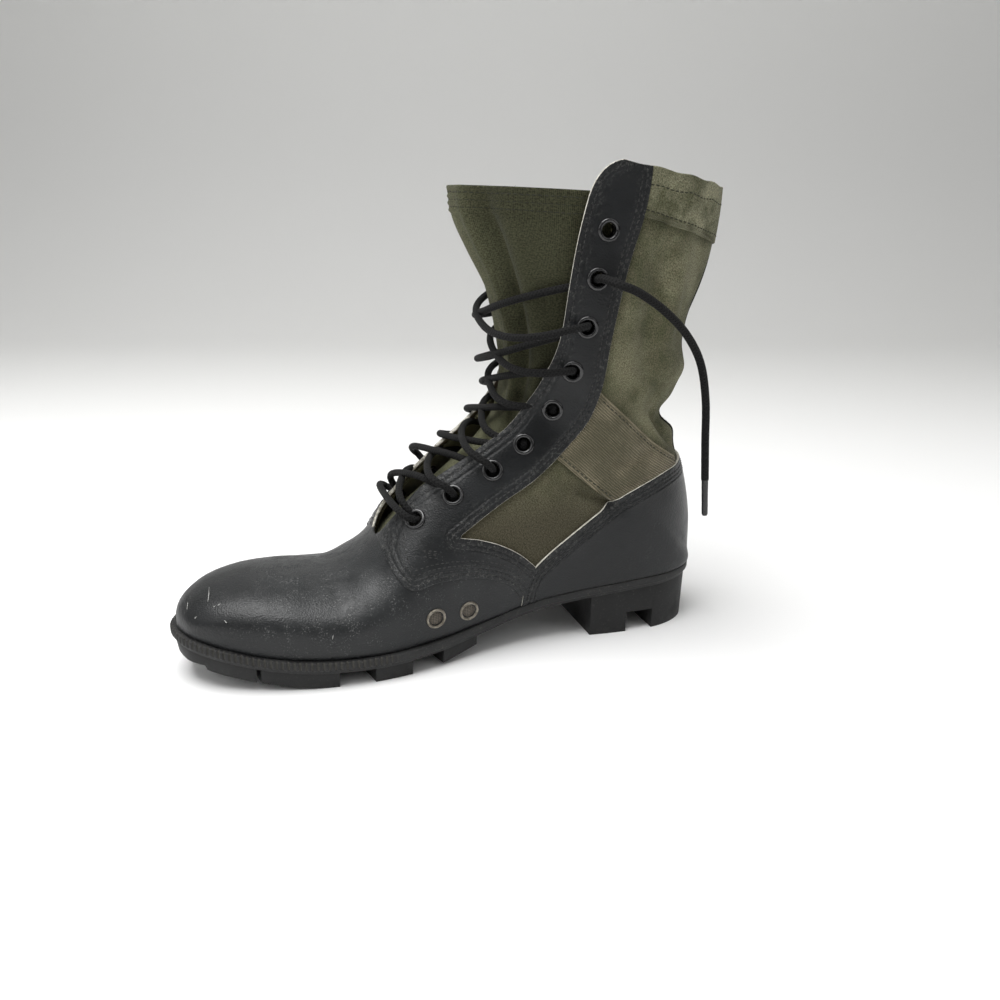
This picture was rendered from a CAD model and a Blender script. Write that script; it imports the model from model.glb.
import math

import bmesh
import bpy
import numpy as np
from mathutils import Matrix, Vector
from mathutils.bvhtree import BVHTree


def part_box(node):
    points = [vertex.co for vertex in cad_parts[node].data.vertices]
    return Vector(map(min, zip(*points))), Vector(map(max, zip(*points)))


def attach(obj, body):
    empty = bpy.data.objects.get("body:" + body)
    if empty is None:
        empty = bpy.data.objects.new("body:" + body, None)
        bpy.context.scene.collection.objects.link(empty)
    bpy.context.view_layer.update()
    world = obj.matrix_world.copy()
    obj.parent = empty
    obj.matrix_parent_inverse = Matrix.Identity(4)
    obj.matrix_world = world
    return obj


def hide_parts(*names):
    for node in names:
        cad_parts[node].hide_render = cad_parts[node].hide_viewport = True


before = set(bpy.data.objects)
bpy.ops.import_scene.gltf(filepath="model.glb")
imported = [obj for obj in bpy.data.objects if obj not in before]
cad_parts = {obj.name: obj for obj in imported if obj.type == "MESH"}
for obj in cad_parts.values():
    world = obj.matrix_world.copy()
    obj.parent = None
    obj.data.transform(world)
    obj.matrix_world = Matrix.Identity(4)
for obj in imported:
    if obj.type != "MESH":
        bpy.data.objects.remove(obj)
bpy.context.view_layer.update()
rng = np.random.default_rng(12)
soleLow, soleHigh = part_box("outsole")

# Driving sizes, in metres. Shares in the tables below are of these
boot = {
    "toeX": soleLow.x,
    "soleLength": soleHigh.x - soleLow.x,
    "ballWidth": 0.107,
    "height": 0.264,
    "heelHigh": soleHigh.z,
    "ballHigh": 0.015,
    "toeSpring": 0.0135,
    "soleGap": 0.0010,
    "rimFore": 0.0045,
    "rimBack": 0.0020,
    "toeBulge": 0.0016,
    "crownShift": -0.045,
    "wall": 0.0018,
    "cell": 0.0021,
}
inner, outer = -1, 1

# Sole outline from the toe along the inner side: share of length, share of ball width
soleOutline = [
    (0.000, -0.040), (0.018, -0.215), (0.060, -0.330), (0.120, -0.412), (0.200, -0.473),
    (0.290, -0.502), (0.370, -0.494), (0.450, -0.448), (0.540, -0.374), (0.630, -0.330),
    (0.720, -0.335), (0.820, -0.357), (0.900, -0.345), (0.960, -0.262), (0.992, -0.125),
    (1.000, 0.000), (0.992, 0.125), (0.960, 0.262), (0.900, 0.345), (0.820, 0.362),
    (0.720, 0.362), (0.600, 0.385), (0.500, 0.430), (0.400, 0.482), (0.310, 0.502),
    (0.220, 0.478), (0.140, 0.410), (0.070, 0.300), (0.022, 0.155),
]

# Share of length, share of toe spring, share of the rise to the heel or of the tread's depth
soleTopTable = [
    (0.00, 1.00, 0.00), (0.07, 0.70, 0.00), (0.15, 0.32, 0.00), (0.23, 0.08, 0.00),
    (0.31, 0.00, 0.00), (0.39, 0.00, 0.01), (0.47, 0.00, 0.10), (0.54, 0.00, 0.26),
    (0.60, 0.00, 0.45), (0.66, 0.00, 0.63), (0.76, 0.00, 0.81), (0.86, 0.00, 0.94),
    (1.00, 0.00, 1.00),
]
treadTable = [
    (0.00, 1.10, 0.00), (0.07, 0.72, 0.00), (0.15, 0.34, 0.00), (0.22, 0.06, 0.00),
    (0.26, 0.00, 0.00), (0.40, 0.00, 0.00), (0.44, 0.00, 0.10), (0.49, 0.00, 0.55),
    (0.54, 0.00, 1.05),
]

# Sections of the last, as in the part: front and back line, half widths, belly, crown, tuck
lastColumns = ("frontX", "frontZ", "backX", "backZ", "inner", "outer", "belly", "crown", "tuck")
lastSections = [
    (0.0165, 0.128, 0.0165, None, None, None, 0.45, 2.2, 58),
    (0.0230, 0.144, 0.0230, None, None, None, 0.45, 2.2, 58),
    (0.0420, 0.161, 0.0420, None, None, None, 0.44, 2.2, 58),
    (0.0750, 0.178, 0.0750, None, None, None, 0.42, 2.3, 58),
    (0.1300, 0.187, 0.1300, None, None, None, 0.40, 2.4, 58),
    (0.1900, 0.185, 0.1900, None, None, None, 0.38, 2.4, 58),
    (0.2500, 0.181, 0.2500, None, None, None, 0.36, 2.3, 58),
    (0.3100, 0.192, 0.3100, None, 0.474, 0.476, 0.35, 2.1, 58),
    (0.3620, 0.235, 0.3620, None, 0.464, 0.474, 0.34, 2.0, 58),
    (0.3960, 0.303, 0.4150, None, 0.445, 0.462, 0.33, 1.9, 58),
    (0.4300, 0.352, 0.4750, None, 0.418, 0.440, 0.34, 1.9, 58),
    (0.4680, 0.398, 0.5450, None, 0.392, 0.412, 0.36, 1.9, 58),
    (0.5080, 0.440, 0.6250, None, 0.374, 0.390, 0.40, 1.9, 60),
    (0.5400, 0.478, 0.7200, None, 0.366, 0.376, 0.44, 1.9, 62),
    (0.5630, 0.513, 0.8200, None, 0.366, 0.372, 0.47, 2.0, 66),
    (0.5760, 0.543, 0.8950, None, 0.368, 0.372, 0.48, 2.0, 74),
    (0.5830, 0.568, 0.9500, None, 0.370, 0.374, 0.48, 2.0, 84),
    (0.5870, 0.590, 0.9830, None, 0.372, 0.376, 0.48, 2.0, 88),
    (0.5880, 0.608, 0.9935, None, 0.374, 0.378, 0.48, 2.0, 90),
    (0.5875, 0.635, 0.9930, 0.225, 0.378, 0.382, 0.48, 2.0, 90),
    (0.5860, 0.665, 0.9780, 0.315, 0.382, 0.386, 0.48, 2.0, 90),
    (0.5840, 0.700, 0.9560, 0.395, 0.388, 0.392, 0.49, 2.1, 90),
    (0.5825, 0.740, 0.9400, 0.460, 0.394, 0.398, 0.49, 2.1, 90),
    (0.5800, 0.790, 0.9500, 0.535, 0.402, 0.406, 0.50, 2.1, 90),
    (0.5770, 0.845, 0.9580, 0.620, 0.412, 0.414, 0.50, 2.2, 90),
    (0.5740, 0.900, 0.9820, 0.715, 0.420, 0.422, 0.50, 2.2, 90),
    (0.5710, 0.955, 1.0050, 0.805, 0.426, 0.428, 0.50, 2.2, 90),
    (0.5690, 1.000, 1.0160, 0.885, 0.430, 0.432, 0.50, 2.2, 90),
    (0.5670, 1.036, 1.0195, 0.948, 0.432, 0.434, 0.50, 2.2, 90),
]

# Pattern lines seen from the side: share of length, share of height
throatEdge = [
    (0.37, 0.248), (0.382, 0.283), (0.394, 0.303), (0.412, 0.327), (0.44, 0.352),
    (0.484, 0.385), (0.544, 0.431), (0.6, 0.481), (0.6405, 0.543), (0.664, 0.603),
    (0.681, 0.68), (0.6895, 0.775), (0.699, 0.85), (0.711, 0.915), (0.719, 0.946),
    (0.731, 0.971), (0.749, 0.989), (0.772, 0.997),
]
facingBack = [
    (0.8185, 0.995), (0.81, 0.916), (0.7825, 0.798), (0.761, 0.665), (0.747, 0.555),
    (0.719, 0.477), (0.6435, 0.388), (0.5545, 0.321), (0.489, 0.271),
]
wingTop = [(0.527, 0.264), (0.565, 0.249), (0.603, 0.223), (0.634, 0.190)]
wingLow = [
    (0.612, 0.120), (0.584, 0.160), (0.527, 0.188), (0.454, 0.192), (0.407, 0.182),
    (0.384, 0.203), (0.374, 0.234), (0.374, 0.268), (0.380, 0.305),
]
counterTop = [
    (0.615, 0.112), (0.619, 0.148), (0.64, 0.192), (0.702, 0.25), (0.761, 0.3),
    (0.823, 0.34), (0.892, 0.369), (0.96, 0.382),
]
bandLow = [(0.786, 0.903), (0.846, 0.885), (0.916, 0.865), (1.010, 0.839)]
strapTop = [(0.700, 0.625), (0.751, 0.554), (0.792, 0.509), (0.8516, 0.447), (0.9205, 0.393)]
strapLow = [(0.625, 0.465), (0.671, 0.4265), (0.730, 0.366), (0.784, 0.320), (0.800, 0.307)]

eyeletPlaces = [
    (0.747, 0.871), (0.732, 0.781), (0.7195, 0.689), (0.7, 0.6015), (0.673, 0.52),
    (0.6215, 0.449), (0.5655, 0.397), (0.494, 0.35), (0.428, 0.304),
]
ventPlaces = [(0.443, 0.1155), (0.506, 0.1162)]
laceBows = [
    (0.576, 0.7), (0.592, 0.622), (0.596, 0.56), (0.577, 0.5),
    (0.531, 0.452), (0.478, 0.414), (0.424, 0.37), (0.388, 0.336),
]
tongueFront = [
    (0.352, 0.205), (0.392, 0.250), (0.435, 0.300), (0.485, 0.352), (0.535, 0.405),
    (0.580, 0.460), (0.606, 0.525), (0.612, 0.600), (0.602, 0.680), (0.580, 0.760),
    (0.550, 0.835), (0.526, 0.900), (0.520, 0.952),
]
tongueSide = [
    (0.366, 0.190), (0.416, 0.235), (0.466, 0.278), (0.522, 0.322), (0.584, 0.366),
    (0.640, 0.412), (0.686, 0.470), (0.718, 0.540), (0.738, 0.625), (0.748, 0.715),
    (0.756, 0.805), (0.762, 0.880), (0.766, 0.938),
]

# Soft folds: points in the side view, side (0 is both), height in metres (minus is a trough), width
folds = [
    ([(1.01, 0.475), (0.925, 0.478), (0.865, 0.505)], 0, -0.0066, 0.0080),
    ([(0.862, 0.520), (0.895, 0.455), (0.935, 0.413)], inner, -0.0046, 0.0040),
    ([(0.99, 0.425), (0.940, 0.440), (0.905, 0.475)], 0, 0.0036, 0.0060),
    ([(0.845, 0.500), (0.880, 0.440), (0.915, 0.400)], inner, 0.0026, 0.0050),
    ([(1.00, 0.580), (0.905, 0.585), (0.868, 0.560)], 0, 0.0040, 0.0090),
    ([(1.02, 0.690), (0.930, 0.680)], 0, -0.0024, 0.0110),
    ([(0.900, 0.840), (0.886, 0.740), (0.876, 0.610)], inner, 0.0034, 0.0070),
    ([(0.850, 0.800), (0.838, 0.680), (0.848, 0.550)], inner, -0.0032, 0.0075),
    ([(0.930, 0.880), (0.956, 0.780), (0.935, 0.700)], inner, -0.0022, 0.0080),
    ([(0.815, 0.880), (0.808, 0.760), (0.790, 0.640)], inner, 0.0016, 0.0080),
    ([(0.900, 0.960), (0.905, 0.900)], inner, 0.0014, 0.0070),
    ([(0.780, 0.610), (0.830, 0.560), (0.860, 0.520)], inner, 0.0016, 0.0060),
    ([(0.700, 0.350), (0.745, 0.330), (0.800, 0.306)], inner, -0.0034, 0.0034),
    ([(0.640, 0.365), (0.700, 0.310), (0.740, 0.300)], inner, 0.0016, 0.0060),
    ([(0.590, 0.330), (0.640, 0.290), (0.660, 0.250)], inner, -0.0010, 0.0060),
    ([(0.870, 0.425), (0.810, 0.400), (0.760, 0.410)], inner, -0.0014, 0.0045),
    ([(0.930, 0.700), (0.860, 0.640), (0.800, 0.640)], outer, -0.0020, 0.0070),
    ([(0.880, 0.560), (0.800, 0.520), (0.760, 0.560)], outer, 0.0020, 0.0080),
    ([(0.880, 0.860), (0.862, 0.760), (0.872, 0.660)], outer, 0.0022, 0.0080),
    ([(0.720, 0.330), (0.660, 0.340), (0.600, 0.330)], outer, -0.0014, 0.0060),
    ([(0.300, 0.200), (0.285, 0.170), (0.270, 0.130)], 0, -0.0010, 0.0060),
    ([(0.335, 0.220), (0.328, 0.180), (0.320, 0.140)], 0, 0.0007, 0.0060),
    ([(0.250, 0.190), (0.240, 0.160)], 0, -0.0007, 0.0050),
]


def report(stage):
    print("boot scene:", stage)


def atX(share):
    return boot["toeX"] + share * boot["soleLength"]


def atZ(share):
    return share * boot["height"]


def sideView(points):
    return [(atX(x), atZ(z)) for x, z in points]


def through(rows, where):
    rows = np.asarray(rows, float)
    k = min(int(where), len(rows) - 2)
    t = where - k
    before = rows[max(k - 1, 0)]
    after = rows[min(k + 2, len(rows) - 1)]
    here, there = rows[k], rows[k + 1]
    return 0.5 * (
        2 * here
        + (there - before) * t
        + (2 * before - 5 * here + 4 * there - after) * t**2
        + (3 * here - before - 3 * there + after) * t**3
    )


def smoothLine(points, perSpan=6):
    count = (len(points) - 1) * perSpan
    return np.array([through(points, i / perSpan) for i in range(count + 1)])


def byShare(table, share):
    where = float(np.interp(share, [row[0] for row in table], range(len(table))))
    return through([row[1:] for row in table], where)


def shareOf(x):
    return (x - boot["toeX"]) / boot["soleLength"]


def soleTop(x):
    spring, rise = byShare(soleTopTable, shareOf(x))
    return boot["ballHigh"] + spring * boot["toeSpring"] + rise * (boot["heelHigh"] - boot["ballHigh"])


def treadLine(x):
    spring, depth = byShare(treadTable, shareOf(x))
    return max(spring, 0) * boot["toeSpring"] + max(depth, 0) * outsole["treadDepth"]


def rimOut(x):
    back = float(np.interp(shareOf(x), (0.42, 0.58), (0, 1)))
    return boot["rimFore"] + (boot["rimBack"] - boot["rimFore"]) * back


def smoothStep(low, high, value):
    t = np.clip((value - low) / (high - low), 0, 1)
    return t * t * (3 - 2 * t)


def outlineLoop(perSpan=8):
    loop = soleOutline + soleOutline[:3]
    count = len(soleOutline) * perSpan
    points = np.array([through(loop, 1 + i / perSpan) for i in range(count)])
    return np.stack([atX(points[:, 0]), points[:, 1] * boot["ballWidth"]], axis=1)


def insetLoop(loop, depth):
    ahead = np.roll(loop, -1, axis=0) - np.roll(loop, 1, axis=0)
    ahead /= np.linalg.norm(ahead, axis=1)[:, None]
    inward = np.stack([-ahead[:, 1], ahead[:, 0]], axis=1)
    return loop + inward * np.broadcast_to(depth, len(loop))[:, None]


class Edges:
    # inner and outer edge of a closed outline, as functions of x
    def __init__(self, loop):
        toe = int(loop[:, 0].argmin())
        loop = np.roll(loop, -toe, axis=0)
        heel = int(loop[:, 0].argmax())
        self.toeX, self.heelX = loop[0, 0], loop[heel, 0]
        self.inner = loop[: heel + 1]
        self.outer = np.vstack([loop[heel:], loop[:1]])[::-1]

    def at(self, x):
        low = np.interp(x, self.inner[:, 0], self.inner[:, 1])
        high = np.interp(x, self.outer[:, 0], self.outer[:, 1])
        return float(low), float(high)


def sectionAt(where, edge):
    rows = []
    for row in lastSections:
        values = dict(zip(lastColumns, row))
        x = atX(values["backX"])
        onSole = values["backZ"] is None
        low, high = edge.at(x) if onSole else (0.0, 0.0)
        backZ = soleTop(x) + boot["soleGap"] if onSole else atZ(values["backZ"])
        innerWide, outerWide = -low + boot["toeBulge"], high + boot["toeBulge"]
        if values["inner"] is not None:
            innerWide = values["inner"] * boot["ballWidth"]
        if values["outer"] is not None:
            outerWide = values["outer"] * boot["ballWidth"]
        rows.append(
            (atX(values["frontX"]), atZ(values["frontZ"]), x, backZ, innerWide, outerWide) + row[6:]
        )
    section = dict(zip(lastColumns, through(rows, where)))
    section["seam"] = boot["crownShift"] * boot["ballWidth"] * float(
        np.interp(where, (0, 6, 14), (1, 1, 0))
    )
    section["low"] = section["high"] = 0.0
    if where <= 18.5:  # the rows up to here stand on the sole
        x = min(max(section["backX"], edge.toeX), edge.heelX)
        section["backZ"] = soleTop(x) + boot["soleGap"]
        low, high = edge.at(x)
        section["low"], section["high"] = low, high
        if where < 6:
            thin = min(1.0, (high - low) / 0.04)
            section["inner"] = -low + boot["toeBulge"] * thin
            section["outer"] = high + boot["toeBulge"] * thin
    if where == 0:
        section["low"] = section["high"] = section["seam"]
        section["inner"], section["outer"] = -section["seam"], section["seam"]
    return section


def sectionRing(section, around):
    side = np.where(around < 0, inner, outer)
    turn = np.abs(around) * math.pi
    seam = section["seam"]
    widest = np.where(side == inner, section["inner"] + seam, section["outer"] - seam)
    edge = np.where(side == inner, seam - section["low"], section["high"] - seam)
    belly, power = section["belly"], 2 / section["crown"]
    upper = turn <= math.pi / 2
    high = np.clip(turn, 0, math.pi / 2)
    wideUp = widest * np.sin(high) ** power
    riseUp = belly + (1 - belly) * np.clip(np.cos(high), 0, 1) ** power
    tuck = math.radians(section["tuck"])
    low = np.clip((turn - math.pi / 2) / (math.pi / 2), 0, 1) * tuck
    wideLow = widest - (widest - edge) * (1 - np.cos(low)) / (1 - math.cos(tuck))
    riseLow = belly * (1 - np.sin(low) / math.sin(tuck))
    wide, rise = np.where(upper, wideUp, wideLow), np.where(upper, riseUp, riseLow)
    x = section["backX"] + (section["frontX"] - section["backX"]) * rise
    z = section["backZ"] + (section["frontZ"] - section["backZ"]) * rise
    return np.stack([x, seam + side * wide, z], axis=1)


def gridNormals(grid):
    alongRows = np.gradient(grid, axis=0)
    alongRing = np.gradient(grid, axis=1)
    normals = np.cross(alongRing, alongRows)
    normals[0] = normals[2]
    size = np.linalg.norm(normals, axis=2, keepdims=True)
    normals /= np.maximum(size, 1e-12)
    if (normals[:, :, 1] * grid[:, :, 1]).sum() < 0:
        normals = -normals
    normals[0] = normals[0] * 0.3 + np.array([-1.0, 0, 0])
    normals[0] /= np.linalg.norm(normals[0], axis=1)[:, None]
    return normals


def distanceTo(line, points):
    line = np.asarray(line, float)
    best = np.full(len(points), 1e9)
    for a, b in zip(line[:-1], line[1:]):
        along = b - a
        t = np.clip(((points - a) @ along) / max(along @ along, 1e-12), 0, 1)
        best = np.minimum(best, np.linalg.norm(points - a - t[:, None] * along, axis=1))
    return best


def isInside(outline, points):
    inside = np.zeros(len(points), bool)
    for a, b in zip(outline, np.roll(outline, -1, axis=0)):
        if a[1] == b[1]:
            continue
        cross = (a[1] > points[:, 1]) != (b[1] > points[:, 1])
        inside ^= cross & (points[:, 0] < (b[0] - a[0]) * (points[:, 1] - a[1]) / (b[1] - a[1]) + a[0])
    return inside


def signedTo(outline, points):
    # plus inside the closed outline
    outline = np.asarray(outline, float)
    distance = distanceTo(np.vstack([outline, outline[:1]]), points)
    return np.where(isInside(outline, points), distance, -distance)


def foldHeights(points):
    flat, side = points[:, [0, 2]], points[:, 1]
    heights = np.zeros(len(points))
    for marks, turned, high, wide in folds:
        line = smoothLine(sideView(marks))
        distance = distanceTo(line, flat)
        ends = np.minimum(
            np.linalg.norm(flat - line[0], axis=1), np.linalg.norm(flat - line[-1], axis=1)
        )
        fade = 0.25 + 0.75 * smoothStep(0, wide * 2, ends)
        if turned:
            fade = fade * smoothStep(0.002, 0.016, side * turned)
        heights += high * np.exp(-((distance / wide) ** 2)) * fade
    return heights


class Surface:
    # the upper's own surface on a fine grid, with its normals, pattern distances and a side lookup
    def __init__(self):
        edge = Edges(insetLoop(outlineLoop(), [rimOut(x) for x, _ in outlineLoop()]))
        places = [0.0]
        for k in range(len(lastSections) - 1):
            a, b = sectionAt(k, edge), sectionAt(k + 1, edge)
            reach = max(
                math.dist((a["frontX"], a["frontZ"]), (b["frontX"], b["frontZ"])),
                math.dist((a["backX"], a["backZ"]), (b["backX"], b["backZ"])),
            )
            steps = max(2, math.ceil(reach / boot["cell"]))
            places += [k + (i + 1) / steps for i in range(steps)]
        around = np.linspace(-1, 1, 169)
        grid = np.array([sectionRing(sectionAt(w, edge), around) for w in places])
        eased = np.interp(places, (16.5, 17.5, 19.5, 20.5), (0, 1, 1, 0))[1:-1, None, None]
        for _ in range(14):  # evens out the rows where the last leaves the sole
            grid[1:-1] += eased * 0.25 * (grid[:-2] - 2 * grid[1:-1] + grid[2:])
        heights = foldHeights(grid.reshape(-1, 3)).reshape(grid.shape[:2])
        grid = grid + gridNormals(grid) * heights[:, :, None]
        self.shape = grid.shape[:2]
        self.points = grid.reshape(-1, 3)
        self.normals = gridNormals(grid).reshape(-1, 3)
        rows, columns = self.shape
        self.faces = [
            (i * columns + j, i * columns + j + 1, (i + 1) * columns + j + 1, (i + 1) * columns + j)
            for i in range(rows - 1)
            for j in range(columns - 1)
        ]
        across = np.linalg.norm(np.diff(grid, axis=1), axis=2)
        self.wide = np.concatenate([np.zeros((rows, 1)), across.cumsum(axis=1)], axis=1)
        self.wide = (self.wide - self.wide[:, columns // 2][:, None]).reshape(-1)
        along = np.linalg.norm(np.diff(grid, axis=0), axis=2).mean(axis=1)
        self.long = np.repeat(np.concatenate([[0], along.cumsum()]), columns)
        self.tree = BVHTree.FromPolygons([Vector(p) for p in self.points], self.faces)

    def meet(self, side, x, z):
        spot, normal, _, _ = self.tree.ray_cast(Vector((x, side * 0.3, z)), Vector((0, -side, 0)))
        if spot is None:
            spot, normal, _, _ = self.tree.find_nearest(Vector((x, side * 0.03, z)))
        if normal.y * side < 0:
            normal = -normal
        return spot, normal

    def seat(self, side, x, z, radius):
        spots = [
            self.meet(side, x + radius * math.cos(a), z + radius * math.sin(a))
            for a in (math.tau * k / 8 for k in range(8))
        ]
        spot, _ = self.meet(side, x, z)
        normal = sum((n for _, n in spots), Vector()).normalized()
        return spot, normal


# Panels: a table of numbers for each point of the surface, cut along the pattern lines
columns = {name: k for k, name in enumerate(("x", "y", "z", "nx", "ny", "nz", "u", "v"))}


def addColumn(data, name, values):
    columns.setdefault(name, len(columns))
    return np.hstack([data, np.asarray(values, float).reshape(-1, 1)])


def clip(data, faces, field, level=0.0):
    # keeps what lies above the level of a field, with new points on the cut
    values = data[:, columns[field]] - level
    fresh, made, kept = [], {}, []

    def crossing(a, b):
        key = (a, b) if a < b else (b, a)
        if key not in made:
            low, high = key
            t = values[low] / (values[low] - values[high])
            made[key] = len(data) + len(fresh)
            fresh.append(data[low] * (1 - t) + data[high] * t)
        return made[key]

    above = values > 0
    for face in faces:
        states = [above[i] for i in face]
        if all(states):
            kept.append(face)
        elif any(states):
            cut = []
            for k, a in enumerate(face):
                b = face[(k + 1) % len(face)]
                if above[a]:
                    cut.append(a)
                if above[a] != above[b]:
                    cut.append(crossing(a, b))
            if len(cut) > 2:
                kept.append(tuple(cut))
    if fresh:
        data = np.vstack([data, np.array(fresh)])
    used = sorted({i for face in kept for i in face})
    renamed = {old: new for new, old in enumerate(used)}
    return data[used], [tuple(renamed[i] for i in face) for face in kept]


def levelLines(data, faces, field, level):
    # lines on the panel where a field has one value, as lists of rows of the table
    values = data[:, columns[field]] - level
    joined, rows = {}, {}
    for face in faces:
        keys = []
        for k, a in enumerate(face):
            b = face[(k + 1) % len(face)]
            if (values[a] > 0) != (values[b] > 0):
                key = (a, b) if a < b else (b, a)
                if key not in rows:
                    t = values[key[0]] / (values[key[0]] - values[key[1]])
                    rows[key] = data[key[0]] * (1 - t) + data[key[1]] * t
                keys.append(key)
        if len(keys) == 2:
            joined.setdefault(keys[0], []).append(keys[1])
            joined.setdefault(keys[1], []).append(keys[0])
    lines, seen = [], set()
    starts = [k for k in joined if len(joined[k]) == 1] + list(joined)
    for start in starts:
        if start in seen:
            continue
        line, here = [], start
        while here is not None:
            seen.add(here)
            line.append(rows[here])
            here = next((n for n in joined[here] if n not in seen), None)
        if len(line) > 3:
            lines.append(np.array(line))
    return lines


def newObject(name, mesh, materials=()):
    obj = bpy.data.objects.new(name, mesh)
    bpy.context.scene.collection.objects.link(obj)
    for made in materials:
        mesh.materials.append(made)
    return obj


def meshObject(name, points, faces, materials=(), smooth=True):
    mesh = bpy.data.meshes.new(name)
    mesh.from_pydata([tuple(p) for p in points], [], [tuple(f) for f in faces])
    mesh.validate()
    if smooth:
        mesh.shade_smooth()
    return newObject(name, mesh, materials)


def writeAttribute(mesh, name, values):
    layer = mesh.attributes.new(name, "FLOAT", "POINT")
    layer.data.foreach_set("value", np.asarray(values, np.float32))


def panel(name, data, faces, thick, gap, materials, turnsRound=0.0004, carry=()):
    # outer face, rounded raw edge and inner face of a cut panel; materials: face, edge, back
    points, normals = data[:, :3], data[:, 3:6]
    normals = normals / np.linalg.norm(normals, axis=1)[:, None]
    count = len(points)
    directed = {}
    for face in faces:
        for k, a in enumerate(face):
            directed[(a, face[(k + 1) % len(face)])] = True
    border = [(a, b) for (a, b) in directed if (b, a) not in directed]
    outward = np.zeros((count, 3))
    for a, b in border:
        ahead = points[b] - points[a]
        away = np.cross(ahead, normals[a])
        size = np.linalg.norm(away)
        if size > 0:
            outward[a] += away / size
            outward[b] += away / size
    a, b, c = faces[0][:3]
    if np.dot(np.cross(points[b] - points[a], points[c] - points[b]), normals[a]) < 0:
        outward = -outward
        faces = [face[::-1] for face in faces]
        border = [(b, a) for a, b in border]
    size = np.linalg.norm(outward, axis=1, keepdims=True)
    outward = np.where(size > 1e-9, outward / np.maximum(size, 1e-9), 0)
    rim = sorted({i for pair in border for i in pair})
    place = {old: k for k, old in enumerate(rim)}
    r = min(turnsRound, thick / 2)
    steps = [(gap + thick - 0.3 * r, 0.7 * r), (gap + thick - r, r), (gap + r, r), (gap + 0.3 * r, 0.7 * r)]
    layers = [points + normals * (gap + thick)]
    layers += [points[rim] + normals[rim] * high + outward[rim] * out for high, out in steps]
    layers.append(points + normals * gap)
    starts = np.cumsum([0] + [len(layer) for layer in layers])
    last = starts[-2]
    allFaces = list(faces)
    slots = [0] * len(faces)
    for a, b in border:
        chain = [(a, b)]
        chain += [(starts[k + 1] + place[a], starts[k + 1] + place[b]) for k in range(len(steps))]
        chain.append((last + a, last + b))
        for k in range(len(chain) - 1):
            (p, q), (r1, s1) = chain[k], chain[k + 1]
            allFaces.append((q, p, r1, s1))
            slots.append(0 if k == 0 else (2 if k == len(chain) - 2 else 1))
    allFaces += [tuple(last + i for i in face[::-1]) for face in faces]
    slots += [2] * len(faces)
    mesh = bpy.data.meshes.new(name)
    mesh.from_pydata(np.vstack(layers).tolist(), [], allFaces)
    for made in materials:
        mesh.materials.append(made)
    mesh.polygons.foreach_set("material_index", slots)
    mesh.shade_smooth()
    source = np.concatenate([np.arange(count)] + [np.array(rim, int)] * len(steps) + [np.arange(count)])
    for field in ("u", "v") + tuple(carry):
        writeAttribute(mesh, field, data[source, columns[field]])
    mesh.validate()
    mesh.update()
    return newObject(name, mesh)


def stitchMesh(name, lines, material, spec, lift):
    # raised thread along the lines; spec holds length, gap, wide and high
    points, faces = [], []
    rings = ((-0.5, 0.25), (-0.38, 0.85), (0.0, 1.0), (0.38, 0.85), (0.5, 0.25))
    for line in lines:
        spots, normals = line[:, :3], line[:, 3:6]
        steps = np.concatenate([[0], np.linalg.norm(np.diff(spots, axis=0), axis=1).cumsum()])
        pitch = spec["length"] + spec["gap"]
        for k in range(int(steps[-1] / pitch)):
            middle = (k + 0.5) * pitch
            if middle + pitch > steps[-1]:
                break
            here = np.array([np.interp(middle, steps, spots[:, c]) for c in range(3)])
            there = np.array([np.interp(middle + 0.0006, steps, spots[:, c]) for c in range(3)])
            up = np.array([np.interp(middle, steps, normals[:, c]) for c in range(3)])
            up /= np.linalg.norm(up)
            ahead = there - here
            ahead /= max(np.linalg.norm(ahead), 1e-9)
            side = np.cross(up, ahead)
            here = here + up * lift + side * rng.normal(0, 0.00006)
            base = len(points)
            for reach, size in rings:
                centre = here + ahead * reach * spec["length"]
                for turn in (0.0, 0.25, 0.5, 0.75):
                    c, s = math.cos(turn * math.tau), math.sin(turn * math.tau)
                    points.append(
                        centre + side * c * size * spec["wide"] / 2 + up * s * size * spec["high"]
                    )
            for i in range(len(rings) - 1):
                for j in range(4):
                    a, b = base + i * 4 + j, base + i * 4 + (j + 1) % 4
                    faces.append((a, b, b + 4, a + 4))
            faces.append((base + 3, base + 2, base + 1, base))
            top = base + (len(rings) - 1) * 4
            faces.append((top, top + 1, top + 2, top + 3))
    return meshObject(name, points, faces, [material])


def tubeMesh(name, line, radius, sides, material):
    # round tube with its own u (along, metres) and v (around, turns) for the braid
    line = [Vector(p) for p in line]
    points, faces, alongs, turns = [], [], [], []
    up, length = Vector((0, 0, 1)), 0.0
    for i, spot in enumerate(line):
        ahead = (line[min(i + 1, len(line) - 1)] - line[max(i - 1, 0)]).normalized()
        if i:
            length += (spot - line[i - 1]).length
        side = ahead.cross(up)
        if side.length < 0.2:
            side = ahead.cross(Vector((1, 0, 0)))
        side.normalize()
        up = side.cross(ahead)
        size = radius(i / (len(line) - 1)) if callable(radius) else radius
        for k in range(sides + 1):
            angle = math.tau * k / sides
            points.append(spot + (side * math.cos(angle) + up * math.sin(angle)) * size)
            alongs.append(length)
            turns.append(k / sides)
    ring = sides + 1
    for i in range(len(line) - 1):
        for k in range(sides):
            a = i * ring + k
            faces.append((a, a + 1, a + ring + 1, a + ring))
    faces.append(tuple(range(sides - 1, -1, -1)))
    faces.append(tuple((len(line) - 1) * ring + k for k in range(sides)))
    obj = meshObject(name, points, faces, [material])
    writeAttribute(obj.data, "u", alongs)
    writeAttribute(obj.data, "v", turns)
    return obj


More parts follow.
